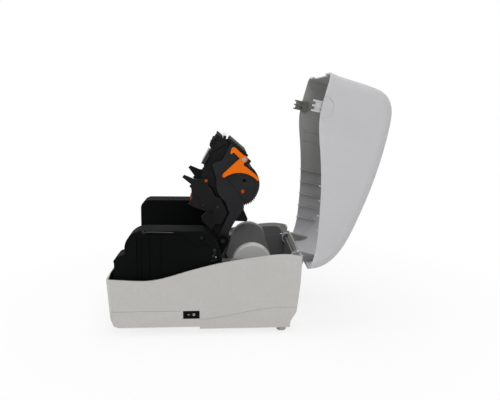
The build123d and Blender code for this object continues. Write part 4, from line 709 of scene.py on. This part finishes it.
# %% Pin end
PIN_CENTRE, PIN_R = (143.1, 218.7), 2.3
BRACKET_FACE_X, PIN_TOP_X = 52.7, 53.3
surface("spool_pin_end", raised(round_outline(PIN_CENTRE, PIN_R), BRACKET_FACE_X, PIN_TOP_X),
        "print_module", "hub_orange")
print("pin end", PIN_R, "mm in radius")

# %% [markdown]
# ## Inside the cover
#
# The cover is drawn shut, as it was designed, and turned back about its hinge. The same
# turn is used here, so the ribs can be written in the drawing's numbers. Two pairs of low
# ribs stiffen the side walls, and a web joins the tines of each catch. The hinge barrels
# have a pale raised rim on their inner faces, which runs on along the edge of the arms.
# These pale lines are painted highlights, where the edges of the dark grey arms catch the light.

# %% Turn about the hinge
COVER_TURN = np.radians(102.0)


def stood_open(points):
    """Rows of (x, depth, height), turned back about the cover's hinge: p' = h + R (p - h)."""
    p = np.asarray(points, dtype=float)
    y, z = p[..., 1] - COVER_HINGE[0], p[..., 2] - COVER_HINGE[1]
    c, s = np.cos(COVER_TURN), np.sin(COVER_TURN)
    return np.stack([p[..., 0], COVER_HINGE[0] + y * c + z * s, COVER_HINGE[1] - y * s + z * c], -1)


SOFT, END_SCALE = 0.25, 0.75  # how much the corners and the ends are drawn in


def cover_bar(name, x, y, z, finish):
    """Box with softened corners, drawn with the cover shut: eight-sided rings along z."""
    (x0, x1), (y0, y1), (z0, z1) = x, y, z
    ring = np.array([(x0 + SOFT, y0), (x1 - SOFT, y0), (x1, y0 + SOFT), (x1, y1 - SOFT),
                     (x1 - SOFT, y1), (x0 + SOFT, y1), (x0, y1 - SOFT), (x0, y0 + SOFT)])
    middle = ring.mean(axis=0)
    levels = [(z0, END_SCALE), (z0 + SOFT, 1.0), (z1 - SOFT, 1.0), (z1, END_SCALE)]
    rows = [np.c_[middle + (ring - middle) * k, np.full(8, level)] for level, k in levels]
    turned = placed(stood_open(np.stack(rows))).reshape(len(levels), 8, 3)
    surface(name, turned, "cover", finish)


print("cover turned back by", round(float(np.degrees(COVER_TURN))), "degrees")

# %% Low ribs and catch webs
LOW_RIB_DEPTHS, LOW_RIB_HEIGHTS = (91.4, 107.9), (96.0, 168.0)
LOW_RIB_X = {"far": (-106.7, -105.0), "near": (105.0, 106.7)}
HALF_RIB = 0.5
WEB_DEPTHS = (42.0, 56.0)
for number, depth in enumerate(LOW_RIB_DEPTHS):
    for side, rib_x in LOW_RIB_X.items():
        cover_bar(f"{side}_inner_rib_{number}", rib_x, (depth - HALF_RIB, depth + HALF_RIB),
                  LOW_RIB_HEIGHTS, "cover_shell_grey")
# The catch webs take the catches' finish, with its painted shade on the far side.
cover_bar("far_catch_web", (-103.6, -101.0), WEB_DEPTHS, (71.5, 85.0),
          "catch_grey_far_shaded")
cover_bar("near_catch_web", (101.0, 104.0), WEB_DEPTHS, (73.0, 85.0),
          "catch_grey_far_shaded")
print(2 * len(LOW_RIB_DEPTHS), "low ribs and two webs")

# %% Painted highlights on the rims of the hinge barrels and the edges of the arms
BARREL_FACE_X, BARREL_RIM_R, RIM_LINE_R = 60.3, 7.9, 0.95
EDGE_FOOT, EDGE_TOP, EDGE_LINE_R = (269.9, 109.0), (271.8, 136.0), 0.8
# Painted highlights: pale tubes along the barrels' rims and the arms' edges.
for side, x in (("far", -BARREL_FACE_X), ("near", BARREL_FACE_X)):
    rim = ring_path(x, COVER_HINGE, BARREL_RIM_R, count=41)
    edge = stood_open(np.linspace((x, *EDGE_FOOT), (x, *EDGE_TOP), 12))
    surface(f"{side}_barrel_rim_highlight", tube(rim, RIM_LINE_R), "cover",
            "guide_grey")
    surface(f"{side}_arm_edge_highlight", tube(edge, EDGE_LINE_R), "cover",
            "guide_grey")
print("two barrel rims and two arm edges")

# %% [markdown]
# ## Studio
#
# The photograph stands on plain white. The floor is a large pale sheet. Close to the
# printer it is partly a lit surface, so it keeps the shadow. Away from it, it turns into
# the same white as the surround, and no horizon shows. Both whites are shown only to the
# camera, to mirror-like surfaces and through clear ones. For all other light the floor is
# plain paper, and the surround is a dim fill of half that strength. Three large soft lamps
# light the side, the top and the front.

# %% Which rays see white
WHITE = (1.0, 1.0, 1.0, 1.0)


def seen_white(tree):
    """Mask = 1 for rays from the camera, off mirror-like surfaces or through clear ones."""
    rays = node(tree, "LightPath").outputs
    straight = math(tree, "MAXIMUM", rays["Is Camera Ray"], rays["Is Glossy Ray"])
    return math(tree, "MAXIMUM", straight, rays["Is Transmission Ray"])


print("white is", WHITE[:3])

# %% Floor
FLOOR_REACH = 6.0
FADE_FROM, FADE_TO = 0.22, 0.60  # metres from the printer's middle
FADE_LEAST = 0.80
corners = [(x * FLOOR_REACH, y * FLOOR_REACH, 0.0) for x, y in ((-1, -1), (1, -1), (1, 1), (-1, 1))]
floor_mesh = bpy.data.meshes.new("studio_floor")
floor_mesh.from_pydata(corners, [], [(0, 1, 2, 3)])
floor = bpy.data.objects.new("studio_floor", floor_mesh)
bpy.context.scene.collection.objects.link(floor)
paper, paper_tree, paper_shader = new_finish("studio_paper")
floor_mesh.materials.append(paper)
paper_sockets = ("Base Color", "Roughness", "Specular IOR Level")
fill(paper_tree, [paper_shader.inputs[label] for label in paper_sockets],
     ((0.93, 0.93, 0.93, 1.0), 0.9, 0.1))
away = vectors(paper_tree, "LENGTH", node(paper_tree, "TexCoord").outputs["Object"])
fade = ranged(paper_tree, away, FADE_FROM, FADE_TO, FADE_LEAST, 1.0,
              interpolation_type="SMOOTHSTEP")
share = math(paper_tree, "MULTIPLY", seen_white(paper_tree), fade)
paper_white = node(paper_tree, "Emission")
paper_white.inputs["Color"].default_value = WHITE
paper_mix = node(paper_tree, "MixShader")
fill(paper_tree, paper_mix.inputs, (share, paper_shader.outputs[0], paper_white.outputs[0]))
paper_out = paper_tree.nodes["Material Output"]
paper_tree.links.new(paper_mix.outputs[0], paper_out.inputs["Surface"])
print("floor", 2 * FLOOR_REACH, "m wide")

# %% White surround
SHOWN_STRENGTH, LIT_STRENGTH = 1.0, 0.5
world = bpy.data.worlds.new("studio_world")
bpy.context.scene.world = world
world.use_nodes = True
sky = world.node_tree
sky.nodes.clear()


def white_light(strength):
    """White background of a strength."""
    made = node(sky, "Background", strength=strength)
    made.inputs["Color"].default_value = WHITE
    return made.outputs[0]


pick = node(sky, "MixShader")
fill(sky, pick.inputs, (seen_white(sky), white_light(LIT_STRENGTH), white_light(SHOWN_STRENGTH)))
sky.links.new(pick.outputs[0], node(sky, "OutputWorld").inputs["Surface"])
print("surround lights with", LIT_STRENGTH, "and shows", SHOWN_STRENGTH)

# %% Soft lamps
LAMPS = {  # place, point it faces, side length, power
    "side_lamp": ((1.6, 0.3, 1.3), (0.0, 0.0, 0.15), 1.2, 12.0),
    "top_lamp": ((-0.2, 0.2, 1.9), (0.0, 0.0, 0.1), 1.4, 11.0),
    "front_lamp": ((0.5, -1.9, 0.8), (0.0, 0.0, 0.15), 1.0, 8.0),
}


def soft_lamp(name, place, aim, size, power):
    """Square area lamp that faces a point."""
    data = bpy.data.lights.new(name, "AREA")
    data.shape, data.size, data.energy = "SQUARE", size, power
    lamp = bpy.data.objects.new(name, data)
    bpy.context.scene.collection.objects.link(lamp)
    back = np.array(place) - np.array(aim)
    back = back / np.linalg.norm(back)
    side = np.cross([0.0, 0.0, 1.0], back)
    side /= np.linalg.norm(side)
    lamp.matrix_world = pose_matrix(side, np.cross(back, side), back, place)


for name, values in LAMPS.items():
    soft_lamp(name, *values)
bpy.context.scene.view_settings.view_transform = "Standard"
print(len(LAMPS), "lamps")
